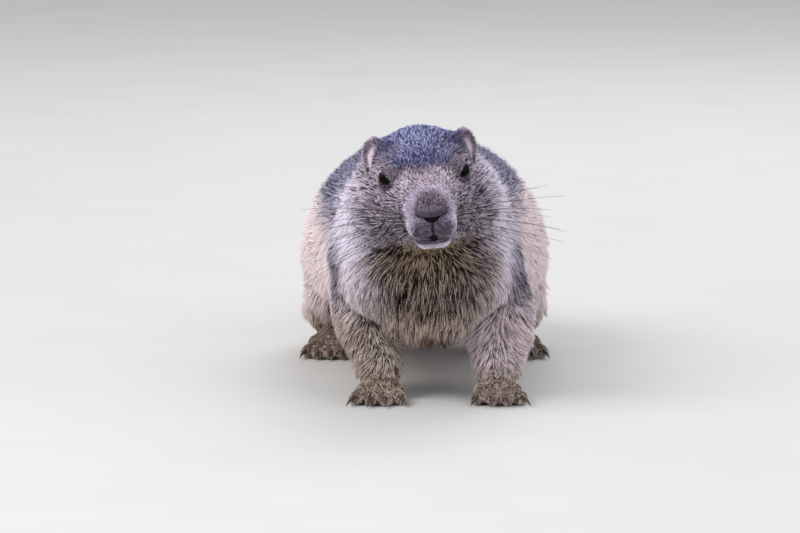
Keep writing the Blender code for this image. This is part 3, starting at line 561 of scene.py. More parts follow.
# What is cut away between the lids, widening outwards from inside the eyeball
def lidOpening(side):
    shape = bmesh.new()
    loops = []
    for share in (0.5, 1.6):
        line = lidLine(side, eyeSizes["radius"] * share)
        ring = bmesh.ops.create_circle(shape, segments=len(line), radius=1)["verts"]
        loops.append(list(dict.fromkeys(edge for vert in ring for edge in vert.link_edges)))
        ring = sorted(ring, key=lambda vert: math.atan2(vert.co.y, vert.co.x) % (2 * math.pi))
        for vert, place in zip(ring, line):
            vert.co = place
    bmesh.ops.bridge_loops(shape, edges=loops[0] + loops[1])
    bmesh.ops.holes_fill(shape, edges=loops[0] + loops[1])
    bmesh.ops.recalc_face_normals(shape, faces=shape.faces)
    return objectFrom(shape, "lidOpening")


# Where the skin is met from outside, on the line from an aim to an origin within
def seenFrom(tree, origin, aim, lift):
    way = (aim - origin).normalized()
    place = tree.ray_cast(origin + way * 0.2, -way)[0]
    return place + way * lift


def mouthLine(tree, lift):
    ahead, last = mouthSizes["centre"][1], mouthSizes["points"] - 1
    origin = headPoint(*mouthSizes["centre"])
    line = []
    for i in range(last + 1):
        share = i / last * 2 - 1
        angle = math.radians(mouthSizes["spread"]) * share
        height = mouthSizes["level"] + mouthSizes["cornerRise"] * abs(share) ** 1.5
        aim = headPoint(0.03 * math.sin(angle), ahead + 0.03 * math.cos(angle), height)
        line.append(seenFrom(tree, origin, aim, lift))
    return line


def grooveLine(tree, lift):
    last = mouthSizes["groovePoints"] - 1
    line = []
    for i in range(last + 1):
        height = mouthSizes["grooveTop"] - mouthSizes["grooveLength"] * i / last
        line.append(seenFrom(tree, headPoint(0, 0.0350, height), headPoint(0, 0.09, height), lift))
    return line


# Level of the brim at a place across the pad
def brimLevel(x):
    return noseSizes["brimLow"] + noseSizes["brimRise"] * min(1, abs(x) / noseSizes["radii"].x) ** 3


# Places of the nose's pad, from its own centre, drawn in to a wedge below the brim
def drawnIn(x, y, z, margin=0):
    share = fade(z - margin - brimLevel(x), 0.0002, -0.0034)
    return Vector((x * (1 - noseSizes["narrowing"] * share), y, z))


# Lids, mouth and groove, then the seats of the eyeballs and of the nose's pad
def carveFace(skin):
    radius, gap = eyeSizes["radius"], eyeSizes["gap"]
    for side in sides.values():
        shape = bmesh.new()
        addBlob(shape, eyePlace(side), (radius + eyeSizes["lidThickness"],) * 3, level=5)
        joinWith(skin, objectFrom(shape, "lids"), "UNION")
        joinWith(skin, lidOpening(side), "DIFFERENCE")
        line = lidLine(side)
        edge = tubes("lidEdge", [(line, [eyeSizes["lidRadius"]] * len(line))], ringed=True)
        joinWith(skin, edge, "UNION")
    tree = treeOf(skin)
    line = mouthLine(tree, -0.0004)
    half = (len(line) - 1) / 2
    radii = [mouthSizes["cut"] * (1 - 0.75 * abs(i / half - 1) ** 4) for i in range(len(line))]
    joinWith(skin, tubes("mouthCut", [(line, radii)]), "DIFFERENCE")
    line = grooveLine(tree, -0.0002)
    radii = [mouthSizes["grooveCut"]] * len(line)
    joinWith(skin, tubes("grooveCut", [(line, radii)]), "DIFFERENCE")
    for side in sides.values():
        shape = bmesh.new()
        addBlob(shape, eyePlace(side), (radius + gap,) * 3)
        joinWith(skin, objectFrom(shape, "eyeSeat"), "DIFFERENCE")
    shape = bmesh.new()
    for vert in addBlob(shape, (0, 0, 0), noseSizes["radii"] + Vector((gap,) * 3), level=5):
        vert.co = headPoint(*noseSizes["centre"]) + headTurn @ drawnIn(*vert.co, gap)
    joinWith(skin, objectFrom(shape, "noseSeat"), "DIFFERENCE")
    shape = bmesh.new()
    shape.from_mesh(skin.data)
    bmesh.ops.triangulate(shape, faces=shape.faces)
    shape.to_mesh(skin.data)
    shape.free()


skin = makeSkin()
print("skin made:", len(skin.data.polygons), "faces")
faceTree = treeOf(skin)
mouth = mouthLine(faceTree, 0)
groove = grooveLine(faceTree, 0)
plainSkin = skin.copy()  # without the carving, for the unwrap
plainSkin.data = skin.data.copy()
bpy.context.scene.collection.objects.link(plainSkin)
carveFace(skin)
skin.data.shade_smooth()
skin.data.set_sharp_from_angle(angle=math.radians(55))
print("face carved")


# Eyes, nose, whiskers and claws

# An eyeball whose corners hold how far they are from the pupil's middle
def makeEye(name, side):
    shape = bmesh.new()
    turn = Vector((0, 0, 1)).rotation_difference(eyeAxis(side)).to_matrix()
    reach = shape.verts.layers.float.new("fromPupil")
    bmesh.ops.create_uvsphere(shape, u_segments=40, v_segments=26, radius=eyeSizes["radius"])
    for vert in shape.verts:
        vert[reach] = math.hypot(vert.co.x, vert.co.y) / eyeSizes["radius"] if vert.co.z > 0 else 1
        vert.co = eyePlace(side) + turn @ vert.co
    eye = objectFrom(shape, "eyeball_" + name)
    eye.data.shade_smooth()
    return eye


# A leathery pad whose brim hangs over two slanting nostrils and the start of the groove
def makeNose():
    shape = bmesh.new()
    radii = noseSizes["radii"]
    holeX, holeWidth, holeHeight = noseSizes["nostril"]
    atBrim, inMiddle, underBrim = noseSizes["shades"]
    noseShadeMask = shape.verts.layers.float.new("paintedNoseShade")
    bmesh.ops.create_uvsphere(shape, u_segments=128, v_segments=96, radius=1)
    for vert in shape.verts:
        x, y, z = vert.co.x * radii.x, vert.co.y * radii.y, vert.co.z * radii.z
        if y < 0.001:
            off = abs(x)
            brim = brimLevel(x)
            below = fade(z - brim, 0.0002, -0.0006)
            hole = fade(math.hypot((off - holeX) / holeWidth,
                                   (z - brim + 0.0012) / holeHeight), 1.2, 0.5)
            edge = fade(abs(z - brim + 0.0004), 0.0008, 0.0002)
            reach = 0.0046 * fade(z, brim - 0.0052, brim - 0.0010)
            middle = fade(off, reach + 0.0010, reach - 0.0010) * below
            y += noseSizes["overhang"] * below + noseSizes["nostrilDepth"] * hole
            y += (noseSizes["crease"] * fade(off, 0.0010, 0.0002) * fade(z, 0.0020, -0.0020)
                  * (1 - below))
            # Painted shade: near black in the nostrils, and darker along the brim, in the middle
            # below it and under it
            vert[noseShadeMask] = max(hole, atBrim * edge, inMiddle * middle, underBrim * below)
        vert.co = headPoint(*noseSizes["centre"]) + headTurn @ drawnIn(x, y, z)
    nose = objectFrom(shape, "nose_pad")
    nose.data.shade_smooth()
    return nose


# Rows of whiskers on the lip's pads, a few above the eyes and on the cheeks
whiskerSizes = {
    "seed": 31,
    "rows": (-0.0165, -0.0205, -0.0245, -0.0280),  # height of each row on the pad
    "perRow": 5,
    "length": (0.048, 0.080),
    "unevenness": (0.80, 1.12),
    "droop": (0.4, 1.1),
    "bend": Vector((0, 0.018, -0.014)),  # of a whisker's tip, times its droop
    "thickness": 0.00050,
    "taper": 0.72,
    "points": 13,
    # Two over each eye and two on each cheek: seen from where, towards where, which way and how
    # long, with the step from one to the next, then the droop and the share of the thickness
    "pairs": (
        ((0.012, 0.004, 0.0), (0.019, 0.008, 0.020), (0.002, -0.003, 0),
         (0.55, -0.15, 0.80), (0, 0.1, 0), 0.020, 0.003, 0.4, 0.5),
        ((0.010, -0.010, -0.030), (0.060, -0.006, -0.034), (0, 0.006, -0.004),
         (0.95, 0.25, -0.25), (0, 0, 0.2), 0.026, 0, 0.5, 0.8),
    ),
}


def whiskerLine(root, way, length, droop, thickness):
    points, radii = [], []
    last = whiskerSizes["points"] - 1
    for i in range(last + 1):
        share = i / last
        points.append(root + way * length * share + whiskerSizes["bend"] * droop * share ** 2)
        radii.append(thickness / 2 * (1 - whiskerSizes["taper"] * share))
    return points, radii


def stepped(values, steps, i):
    return [value + step * i for value, step in zip(values, steps)]


def makeWhiskers(tree):
    rng = np.random.default_rng(whiskerSizes["seed"])
    thickness, (low, high) = whiskerSizes["thickness"], whiskerSizes["length"]
    lines = []
    for side in sides.values():
        for i, height in enumerate(whiskerSizes["rows"]):
            for j in range(whiskerSizes["perRow"]):
                ahead = 0.0490 - 0.0036 * j - 0.0012 * i
                origin = headPoint(0, ahead - 0.006, height)
                aim = headPoint(0.03 * side, ahead - 0.002, height)
                root = seenFrom(tree, origin, aim, -0.0008)
                way = headTurn @ Vector((side, -0.22 + 0.13 * j - 0.2 * rng.random(),
                                         0.30 - 0.21 * i + rng.uniform(-0.12, 0.12)))
                length = (low + (high - low) * j / 4) * rng.uniform(*whiskerSizes["unevenness"])
                lines.append(whiskerLine(root, way.normalized(), length,
                                         rng.uniform(*whiskerSizes["droop"]), thickness))
        for origin, aim, aimStep, out, outStep, length, step, droop, thin in whiskerSizes["pairs"]:
            for i in range(2):
                root = seenFrom(tree, headPointOn(side, origin),
                                headPointOn(side, stepped(aim, aimStep, i)), -0.0006)
                way = Vector(stepped(out, outStep, i))
                way.x *= side
                lines.append(whiskerLine(root, (headTurn @ way).normalized(), length + step * i,
                                         droop, thickness * thin))
    made = tubes("whiskers", lines, roundness=0)
    made.data.shade_smooth()
    return made


clawSizes = {
    "fore": (0.0145, 0.0021),  # length and thickness at the root
    "hind": (0.0115, 0.0020),
    "pastToe": 0.0040,
    "sunk": 0.0015,
    "raised": 0.0012,
    "drop": 0.0042,
    "points": 13,
}


# Curved claws, one ahead of each toe of a foot
def makeClaws(foot, name):
    length, radius = clawSizes[foot]
    last = clawSizes["points"] - 1
    lines = []
    for root, tip in toesOf(foot, name):
        start = tip + (tip - root).normalized() * clawSizes["pastToe"]
        ahead = start - root
        ahead.z = 0
        ahead.normalize()
        start = start - ahead * clawSizes["sunk"] + Vector((0, 0, clawSizes["raised"]))
        points, radii = [], []
        for i in range(last + 1):
            share = i / last
            height = clawSizes["drop"] * (0.55 * share - 1.55 * share ** 2)
            points.append(start + ahead * length * share + Vector((0, 0, height)))
            radii.append(radius * (1 - 0.90 * share ** 1.3) * (0.85 + 0.15 * min(1, share * 8)))
        lines.append((points, radii))
    made = tubes(f"claws_{foot}_{name}", lines, roundness=3)
    made.data.shade_smooth()
    return made


pieces = {"skin": skin}
for name, side in sides.items():
    pieces["eye_" + name] = makeEye(name, side)
    for foot in ("fore", "hind"):
        pieces[f"claws_{foot}_{name}"] = makeClaws(foot, name)
pieces["nose"] = makeNose()
pieces["whiskers"] = makeWhiskers(faceTree)
print("eyes, nose, whiskers and claws made")


# Coat. Each entry is length, height of the tip over the skin, width and tufts per square mm.
coatSizes = {
    "seed": 12,
    "body": (0.0240, 0.0080, 0.00085, 0.46),
    "back": (0.0200, 0.0076, 0.00080, 0.50),
    "belly": (0.0190, 0.0066, 0.00095, 0.32),
    "chest": (0.0165, 0.0072, 0.00050, 1.95),
    "chestEdge": (0.0275, 0.0155, 0.00058, 1.50),
    "shoulder": (0.0150, 0.0052, 0.00056, 1.35),
    "thigh": (0.0200, 0.0058, 0.00085, 0.55),
    "forearm": (0.0100, 0.0030, 0.00048, 1.30),
    "shank": (0.0095, 0.0026, 0.00060, 0.90),
    "foot": (0.0046, 0.0012, 0.00044, 1.50),
    "tail": (0.0350, 0.0140, 0.00100, 0.66),
    "ear": (0.0034, 0.0010, 0.00032, 4.20),
    # On the head they go by the distance from the nose
    "headReach": (0.008, 0.020, 0.040, 0.060, 0.090, 0.120),
    "headLength": (0.0024, 0.0034, 0.0052, 0.0072, 0.0120, 0.0165),
    "headRise": (0.0006, 0.0009, 0.0015, 0.0023, 0.0042, 0.0060),
    "headWidth": (0.00027, 0.00031, 0.00035, 0.00039, 0.00046, 0.00052),
    "headDensity": (5.0, 4.6, 4.0, 3.3, 2.4, 1.9),
    # How much more of each there is on the crown and on the cheeks
    "crown": (-0.40, -0.60, -0.18, 0.25),
    "cheek": (0.25, 0.45, 0, 0),
    # What changes near eyes, ears and lips: its share there, and how far off that starts and ends
    "nearBy": (
        ("Length", "eyes", 0.26, 0.0080, 0.0170),
        ("Rise", "eyes", 0.50, 0.0080, 0.0150),
        ("Density", "eyes", 1.90, 0.0090, 0.0150),
        ("Length", "ears", 0.40, 1.30, 2.00),
        ("Rise", "ears", 0.40, 1.30, 2.00),
        ("Length", "lips", 0.45, 0.0012, 0.0060),
    ),
    # How uneven the tufts are in length, rise and width
    "unevenness": ((0.72, 1.18), (0.55, 1.15), (0.75, 1.25)),
    "wavers": ((0.22, 0.045, 3), (0.12, 0.014, 4)),  # of the lie: how much, how long and a seed
    "shortBelow": 0.0042,    # shorter tufts than this are straight
    "tuftsPerLock": 11,
    "lockTurn": 0.16,
    "lockRise": (0.80, 1.12),
    "tuftTurn": 0.10,
    "gather": 0.45,          # how far tips draw together in a lock, and how unevenly
    "gatherUnevenness": (0.4, 1.3),
    "lockTone": 0.28,        # share of the tone that a lock has in common
    "sunk": 0.0004,          # how deep the roots stand in the skin
    "bareAtEyes": 0.0007,
    "bareAtMouth": 0.0010,
    "bareAtGroove": 0.0004,
    "bareBelow": 0.0022,     # height over the floor
    "fuzzOnNose": 7000,
    "unwrapTriangles": 4000,
    "pieceTriangles": 190000,
}

# Where each kind of coat grows: fades over how far out (x), along (y) and up (z) on the body
coatZones = (
    ("back", (("z", 0.120, 0.150),)),
    ("belly", (("z", 0.070, 0.048), ("x", 0.062, 0.045), ("y", 0.015, 0.040))),
    ("chest", (("y", 0.040, -0.005),)),
    ("chestEdge", (("y", 0.050, 0.030), ("z", 0.074, 0.056), ("x", 0.036, 0.022))),
    ("shoulder", (("x", 0.030, 0.046), ("z", 0.118, 0.092), ("y", 0.080, 0.055))),
    ("thigh", (("x", 0.045, 0.060), ("z", 0.125, 0.100), ("y", 0.170, 0.195))),
    ("forearm", (("z", 0.052, 0.040), ("y", 0.080, 0.065))),
    ("shank", (("z", 0.036, 0.028), ("y", 0.150, 0.170), ("y", 0.330, 0.310))),
    ("foot", (("z", 0.024, 0.017), ("y", 0.330, 0.310))),
    ("tail", (("y", 0.318, 0.345),)),
)

# Which way it lies on chest, shoulders, thighs, feet and rump, and where. The first part of a
# way is times the distance from the middle.
coatWays = (
    ((5, 0.15, -1), (("y", 0.030, -0.020), ("z", 0.170, 0.130))),
    ((0, 0.45, -1), (("x", 0.030, 0.045), ("y", 0.085, 0.050), ("z", 0.140, 0.110))),
    ((0, 0.75, -0.75), (("x", 0.045, 0.060), ("y", 0.170, 0.200), ("z", 0.130, 0.100))),
    ((0, -0.8, -0.6), (("z", 0.024, 0.016), ("y", 0.330, 0.310))),
    ((6, 0.55, -0.80), (("y", 0.280, 0.325), ("y", 0.350, 0.340))),
)

# Painted shade in the folds of the mouth, the groove and under the nose's brim, and the lids' own
# dark rims: how far the dark reaches, faintly and fully
foldShadeAndLidSizes = {
    "mouth": (0.0017, 0.0008),
    "groove": (0.0008, 0.0004),
    "lids": (0.0012, 0.0006),
    "brim": (0.0020, 0.0010),
    # Straight ones: painted shade at the mouth's opening, and over the eyes a dark line that is
    # partly the coat's own and partly painted shade: start, end, how much of the distance across
    # counts, how far the dark reaches, and how much less at the end
    "straight": (
        ((0.0, 0.0560, -0.0290), (0.0, 0.0560, -0.0310), 1.0, (0.0032, 0.0018), (0, 0)),
        ((0.0290, 0.0015, 0.0030), (0.0285, -0.0085, 0.0078), 0.40, (0.0024, 0.0013),
         (0.0010, 0.0007)),
    ),
}

# Dark ring in the ears' cups, painted shade in their notch, their pale edge, and the pale patch in
# the middle
earMarks = {
    "near": (("off", 1.13, 1.05),),
    "inner": (("front", 0.75, 0.45),),
    "ring": (("reach", 0.60, 0.68), ("reach", 0.84, 0.78), ("low", -0.10, 0.25),
             ("outer", -0.30, 0.20)),
    "ringShade": 0.45,
    "notch": (("low", -0.45, -0.60), ("outer", -0.40, 0.0)),
    "notchShade": 0.9,
    "edge": (("reach", 0.82, 0.90), ("low", -0.55, -0.20), ("outer", -0.25, 0.25)),
    "edgeLight": 0.8,
    "patch": (0.05, 0.72, 0.66),  # its middle, outwards, and its radii
}
nosePlace = np.array(headPoint(0, 0.0500, -0.0120))
eyePlaces = [np.array(eyePlace(side)) for side in sides.values()]


# Places that are over the opening of an eye
def overEyes(places):
    found = np.zeros(len(places), bool)
    for side in sides.values():
        local = (places - np.array(eyePlace(side))) @ np.array(lidWays(side)).T
        ahead = np.maximum(local[:, 2], 1e-6) / (eyeSizes["radius"] * eyeSizes["lidPlane"])
        reach = np.hypot(local[:, 0] / ahead / eyeSizes["lidHalfWidth"],
                         local[:, 1] / ahead / eyeSizes["lidHalfHeight"])
        close = np.linalg.norm(local, axis=1) < eyeSizes["radius"] + 0.0030
        found |= close & (local[:, 2] > 0) & (reach < 1.10)
    return found


# Along the nose's brim, from one corner over the nostrils to the other
def brimLine():
    radii, line = noseSizes["radii"], []
    for i in range(25):
        x = radii.x * (i / 12 - 1) * 0.97
        z = brimLevel(x) - 0.0008
        y = -radii.y * math.sqrt(max(0, 1 - (x / radii.x) ** 2 - (z / radii.z) ** 2))
        line.append(headPoint(*noseSizes["centre"]) + headTurn @ drawnIn(x, y, z))
    return line


# A line of places filled in with steps between them
def denser(line, steps=6):
    line = np.array(line)
    count = len(line) - 1
    at = np.linspace(0, count, count * steps + 1)
    return np.stack([np.interp(at, np.arange(count + 1), line[:, i]) for i in range(3)], 1)


foldShadeAndLidLines = {
    "mouth": denser(mouth),
    "groove": denser(groove),
    "lids": np.concatenate([denser(lidLine(side) + lidLine(side)[:1], 2)
                            for side in sides.values()]),
    "brim": denser(brimLine()),
}
lipPoints = np.concatenate([foldShadeAndLidLines["mouth"], foldShadeAndLidLines["groove"]])


def treeAt(spots):
    tree = KDTree(len(spots))
    for i, spot in enumerate(spots):
        tree.insert(spot, i)
    tree.balance()
    return tree


# Distance from each place to the nearest of the spots
def nearest(places, spots):
    tree = treeAt(spots)
    return np.array([tree.find(place)[2] for place in places.tolist()])


# Distances from a straight stretch between two places of the head, on either side. Those across
# the head count by a share.
def fromStretch(places, start, end, acrossShare):
    scale = np.array((acrossShare, 1, 1))
    local = inHead(places)
    local[:, 0] = np.abs(local[:, 0])
    local, start, end = local * scale, start * scale, end * scale
    way = end - start
    share = np.clip((local - start) @ way / (way @ way), 0, 1)
    return np.linalg.norm(local - start - share[:, None] * way, axis=1), share


# Where places are on the nearer ear, in its radii: how far out on the flap as seen from its
# front (reach), how far off it all round, and how far back, up and outwards
def onEars(places):
    found = []
    for side in sides.values():
        local = (places - np.array(earPlace(side))) @ np.array(earTurn(side))
        local /= np.array(earSizes["radii"])
        found.append({"reach": np.hypot(local[:, 0], local[:, 2]),
                      "off": np.linalg.norm(local * (1, 0.7, 1), axis=1),
                      "front": local[:, 1], "low": local[:, 2], "outer": local[:, 0] * side})
    which = (found[0]["off"] > found[1]["off"]).astype(int)
    return {name: np.choose(which, [ear[name] for ear in found]) for name in found[0]}


# How dark the painted shade is in the folds at lips and nose and in the ears' notches, with the
# lids' own dark rims and the ears' dark rings, and how pale the ears' edge and middle
def foldShadeAndEarMarks(places):
    dark = np.zeros(len(places))
    for name, points in foldShadeAndLidLines.items():
        dark = np.maximum(dark, fade(nearest(places, points), *foldShadeAndLidSizes[name]))
    for start, end, acrossShare, (far, close), (lessFar, lessClose) in foldShadeAndLidSizes["straight"]:
        gap, share = fromStretch(places, start, end, acrossShare)
        dark = np.maximum(dark, fade(gap, far - lessFar * share, close - lessClose * share))
    ear = onEars(places)
    near = within(ear, earMarks["near"])
    inner = near * within(ear, earMarks["inner"])
    ring = earMarks["ringShade"] * within(ear, earMarks["ring"])
    # Painted shade in the ears' notches
    notch = earMarks["notchShade"] * within(ear, earMarks["notch"])
    dark = np.maximum(dark, inner * np.maximum(notch, ring))
    edge = near * earMarks["edgeLight"] * within(ear, earMarks["edge"])
    middle, wide, tall = earMarks["patch"]
    patch = inner * fade(np.hypot((ear["outer"] - middle) / wide, ear["low"] / tall), 1.0, 0.5)
    return dark, np.maximum(edge, patch)


# How much of the coat at each place is the head's
def headShare(places):
    y, z = inBody(places)[:, 1:].T
    top = fade(z, 0.140, 0.165)
    start, end = -0.024 + 0.044 * top, -0.042 + 0.034 * top
    return fade((y - start) / (end - start), 0, 1) * fade(z, 0.088, 0.106)


# Length, rise, width and density of the coat at each place
def coatFields(places):
    x, y, z = inBody(places).T
    across, _, up = inHead(places).T
    values = np.tile(coatSizes["body"], (len(places), 1))

    def mix(name, share):
        values[:] += (np.array(coatSizes[name]) - values) * share[:, None]
    for name, limits in coatZones:
        mix(name, within({"x": np.abs(x), "y": y, "z": z}, limits))
    values[:, 0] *= 1 - 0.45 * fade(y, 0.455, 0.500)  # short at the tail's tip
    reach = np.linalg.norm(places - nosePlace, axis=1)
    kinds = ("Length", "Rise", "Width", "Density")
    head = np.stack([np.interp(reach, coatSizes["headReach"], coatSizes["head" + kind])
                     for kind in kinds], 1)
    crown = fade(up, 0.0, 0.010)[:, None]
    cheek = (fade(np.abs(across), 0.024, 0.036) * fade(up, -0.004, -0.016))[:, None]
    head *= ((1 + crown * np.array(coatSizes["crown"]))
             * (1 + cheek * np.array(coatSizes["cheek"])))
    near = {"eyes": nearest(places, eyePlaces), "ears": onEars(places)["off"],
            "lips": nearest(places, lipPoints)}
    for kind, what, share, start, end in coatSizes["nearBy"]:
        head[:, kinds.index(kind)] *= share + (1 - share) * fade(near[what], start, end)
    values += (head - values) * headShare(places)[:, None]
    mix("ear", fade(near["ears"], 1.22, 1.08))
    return values.T


# A slow, uneven wave over the places
def waver(places, scale, seed):
    rng = np.random.default_rng(seed)
    total = np.zeros(len(places))
    for _ in range(5):
        way = rng.normal(size=3)
        way /= np.linalg.norm(way)
        total += np.sin(places @ way / scale * rng.uniform(0.7, 1.4) * 6.28 + rng.uniform(0, 6.28))
    return total / 2.5


# The way the coat lies: away from the nose, back along the body, down the chest and the legs
def lieOfCoat(places, normals):
    x, y, z = inBody(places).T
    one = np.ones(len(places))
    way = np.stack([0 * one, one, -0.15 - 0.40 * fade(z, 0.150, 0.080) * fade(z, 0.030, 0.060)], 1)

    def blend(other, share):
        way[:] += (np.stack([one * part for part in other], 1) - way) * share[:, None]
    for (out, back, rise), limits in coatWays:
        blend((x * out, back, rise), within({"x": np.abs(x), "y": y, "z": z}, limits))
    # Along the tail
    centres = np.array([place for place, _ in skinSizes["tail"]])
    steps = np.diff(centres, axis=0)
    steps /= np.linalg.norm(steps, axis=1)[:, None]
    along = steps[np.clip(np.searchsorted(centres[:, 1], y) - 1, 0, len(steps) - 1)]
    blend(along.T, fade(y, 0.335, 0.350))
    # On the head away from the nose, but backwards on top of the nose
    away = places - nosePlace
    reach = np.linalg.norm(away, axis=1)
    away /= reach[:, None]
    away[:, 2] -= 0.25 * fade(reach, 0.05, 0.10)
    blend(away.T, headShare(places))
    across, ahead, up = inHead(places).T
    blend(np.array(headTurn) @ (0, 1, 0.35), fade(ahead, 0.044, 0.050) * fade(up, -0.013, -0.008)
          * fade(np.abs(across), 0.0125, 0.0105))
    # It parts in front of the eyes and runs round them
    for spot in eyePlaces:
        gap = places - spot
        far = np.linalg.norm(gap, axis=1)
        gap /= far[:, None]
        near = fade(far, 0.0170, 0.0100)
        toward = np.minimum(np.sum(way * gap, axis=1), 0)
        way += gap * (near * (0.15 - 1.05 * toward))[:, None]
    # Away from the lips' edges and the groove
    tree = treeAt(lipPoints)
    gap = places - np.array([tree.find(place)[0] for place in places.tolist()])
    far = np.linalg.norm(gap, axis=1)
    blend((gap / far[:, None]).T, 0.85 * fade(far, 0.0055, 0.0025))
    way -= normals * np.sum(way * normals, axis=1)[:, None]
    way /= np.linalg.norm(way, axis=1)[:, None] + 1e-9
    return way


# Ways turned over the skin by an angle
def turned(way, normals, angle):
    side = np.cross(normals, way)
    return way * np.cos(angle)[:, None] + side * np.sin(angle)[:, None]


# Draws roots over the skin by the tufts per area, and drops those on bare places
def drawRoots(skin, rng):
    mesh = skin.data
    mesh.calc_loop_triangles()
    corners = arrayOf(mesh.loop_triangles, "vertices", 3).astype(int)
    places = arrayOf(mesh.vertices, "co", 3)
    normals = arrayOf(mesh.vertices, "normal", 3)
    a, b, c = (places[corners[:, i]] for i in range(3))
    area = np.linalg.norm(np.cross(b - a, c - a), axis=1) / 2 * 1e6
    density = coatFields((a + b + c) / 3)[3]
    share = area * density
    count = int(share.sum())
    chosen = np.searchsorted(np.cumsum(share), rng.random(count) * share.sum())
    chosen = np.minimum(chosen, len(corners) - 1)
    u, v = rng.random((2, count))
    over = u + v > 1
    u[over], v[over] = 1 - u[over], 1 - v[over]
    shares = (1 - u - v, u, v)
    roots, outward = (sum(values[corners[chosen, i]] * shares[i][:, None] for i in range(3))
                      for values in (places, normals))
    outward /= np.linalg.norm(outward, axis=1)[:, None] + 1e-9
    local = inHead(roots) - np.array(noseSizes["centre"])
    local[:, 0] /= 1 - noseSizes["narrowing"] * fade(local[:, 2], -0.0015, -0.0050)
    onNose = np.linalg.norm(local / (np.array(noseSizes["radii"]) + 0.0004), axis=1) < 1
    bare = onNose | overEyes(roots) | (roots[:, 2] < coatSizes["bareBelow"])
    bare |= nearest(roots, eyePlaces) < eyeSizes["radius"] + coatSizes["bareAtEyes"]
    bare |= nearest(roots, foldShadeAndLidLines["mouth"]) < coatSizes["bareAtMouth"]
    bare |= nearest(roots, foldShadeAndLidLines["groove"]) < coatSizes["bareAtGroove"]
    roots, outward = roots[~bare], outward[~bare]
    # Fine fuzz that runs down over the top of the nose
    way = rng.normal(size=(coatSizes["fuzzOnNose"], 3))
    way /= np.linalg.norm(way, axis=1)[:, None]
    way = way[(way[:, 1] < 0.1) & (way[:, 2] > 0.40 + 0.55 * rng.random(len(way)))]
    radii = np.array(noseSizes["radii"])
    fuzz = np.array(headPoint(*noseSizes["centre"])) + (way * radii) @ np.array(headTurn).T
    off = (way / radii) @ np.array(headTurn).T
    off /= np.linalg.norm(off, axis=1)[:, None]
    return np.concatenate([roots, fuzz]), np.concatenate([outward, off])


# An unwrap of the skin's own shape, on a thinned copy, and where each root falls on it
def rootsOnUnwrap(plain, roots):
    thin = plain.modifiers.new("thin", "DECIMATE")
    thin.ratio = coatSizes["unwrapTriangles"] / len(plain.data.polygons)
    applyModifiers(plain)
    bpy.context.view_layer.objects.active = plain
    plain.select_set(True)
    bpy.ops.object.mode_set(mode="EDIT")
    bpy.ops.mesh.select_all(action="SELECT")
    bpy.ops.mesh.quads_convert_to_tris()
    bpy.ops.uv.smart_project(angle_limit=math.radians(66), island_margin=0.004)
    bpy.ops.object.mode_set(mode="OBJECT")
    mesh = plain.data
    loops = arrayOf(mesh.loops, "vertex_index", 1).astype(int).reshape(-1, 3)
    corners = arrayOf(mesh.vertices, "co", 3)[loops]
    flat = arrayOf(mesh.uv_layers.active.data, "uv", 2).reshape(-1, 3, 2)
    tree = treeOf(plain)
    found = [tree.find_nearest(root)[2] for root in roots.tolist()]
    a, b, c = (corners[found][:, i] for i in range(3))
    one, two, gap = b - a, c - a, roots - a
    d11, d12, d22 = (np.sum(p * q, axis=1) for p, q in ((one, one), (one, two), (two, two)))
    g1, g2 = np.sum(gap * one, axis=1), np.sum(gap * two, axis=1)
    scale = d11 * d22 - d12 * d12 + 1e-20
    u = np.clip((d22 * g1 - d12 * g2) / scale, 0, 1)
    v = np.clip((d11 * g2 - d12 * g1) / scale, 0, 1)
    bpy.data.objects.remove(plain)
    start, alongOne, alongTwo = (flat[found][:, i] for i in range(3))
    return start + (alongOne - start) * u[:, None] + (alongTwo - start) * v[:, None]


def addValues(mesh, label, values, kind="FLOAT"):
    layer = mesh.attributes.new(label, kind, "POINT")
    layer.data.foreach_set("vector" if kind == "FLOAT_VECTOR" else "value", values.reshape(-1))


# One mesh of many tufts: arrays of corners (tuft, corner, xyz) and faces of one tuft
def tuftMesh(name, corners, faces, along, spread, values, roots, flat):
    count, perTuft = corners.shape[:2]
    index = (np.array(faces)[None] + np.arange(count)[:, None, None] * perTuft).reshape(-1)
    corners[:, :, 2] = np.maximum(corners[:, :, 2], 0.0003)
    mesh = bpy.data.meshes.new(name)
    mesh.vertices.add(count * perTuft)
    mesh.vertices.foreach_set("co", corners.reshape(-1))
    mesh.loops.add(len(index))
    mesh.loops.foreach_set("vertex_index", index)
    mesh.polygons.add(len(index) // 3)
    mesh.polygons.foreach_set("loop_start", np.arange(0, len(index), 3))
    mesh.update(calc_edges=True)
    patch = (flat[:, None] + np.array(spread)[None] * 0.0015).reshape(-1, 2)
    layer = mesh.uv_layers.new(name="OFBake")
    layer.data.foreach_set("uv", patch[index].reshape(-1))
    addValues(mesh, "along", np.tile(along, count))
    for label, data in values.items():
        addValues(mesh, label, np.repeat(data, perTuft))
    addValues(mesh, "rootPlace", np.repeat(roots, perTuft, axis=0), "FLOAT_VECTOR")
    made = bpy.data.objects.new(name, mesh)
    bpy.context.scene.collection.objects.link(made)
    made.data.shade_flat()
    return made


# Straight tufts of four corners, and bent ones of five with their widest place near halfway:
# faces, how far along each corner is, and where it lies on the tuft's own patch of the unwrap
shortTuft = (((0, 2, 1), (0, 1, 3), (1, 2, 3), (2, 0, 3)),
             (0, 0, 0.15, 1), ((-1, -1), (1, -1), (0, -0.6), (0, 1)))
longTuft = (((0, 2, 1), (4, 1, 2), (0, 1, 3), (0, 3, 2), (4, 3, 1), (4, 2, 3)),
            (0, 0.46, 0.46, 0.48, 1), ((0, -1), (-1, 0), (1, 0), (0, 0), (0, 1)))


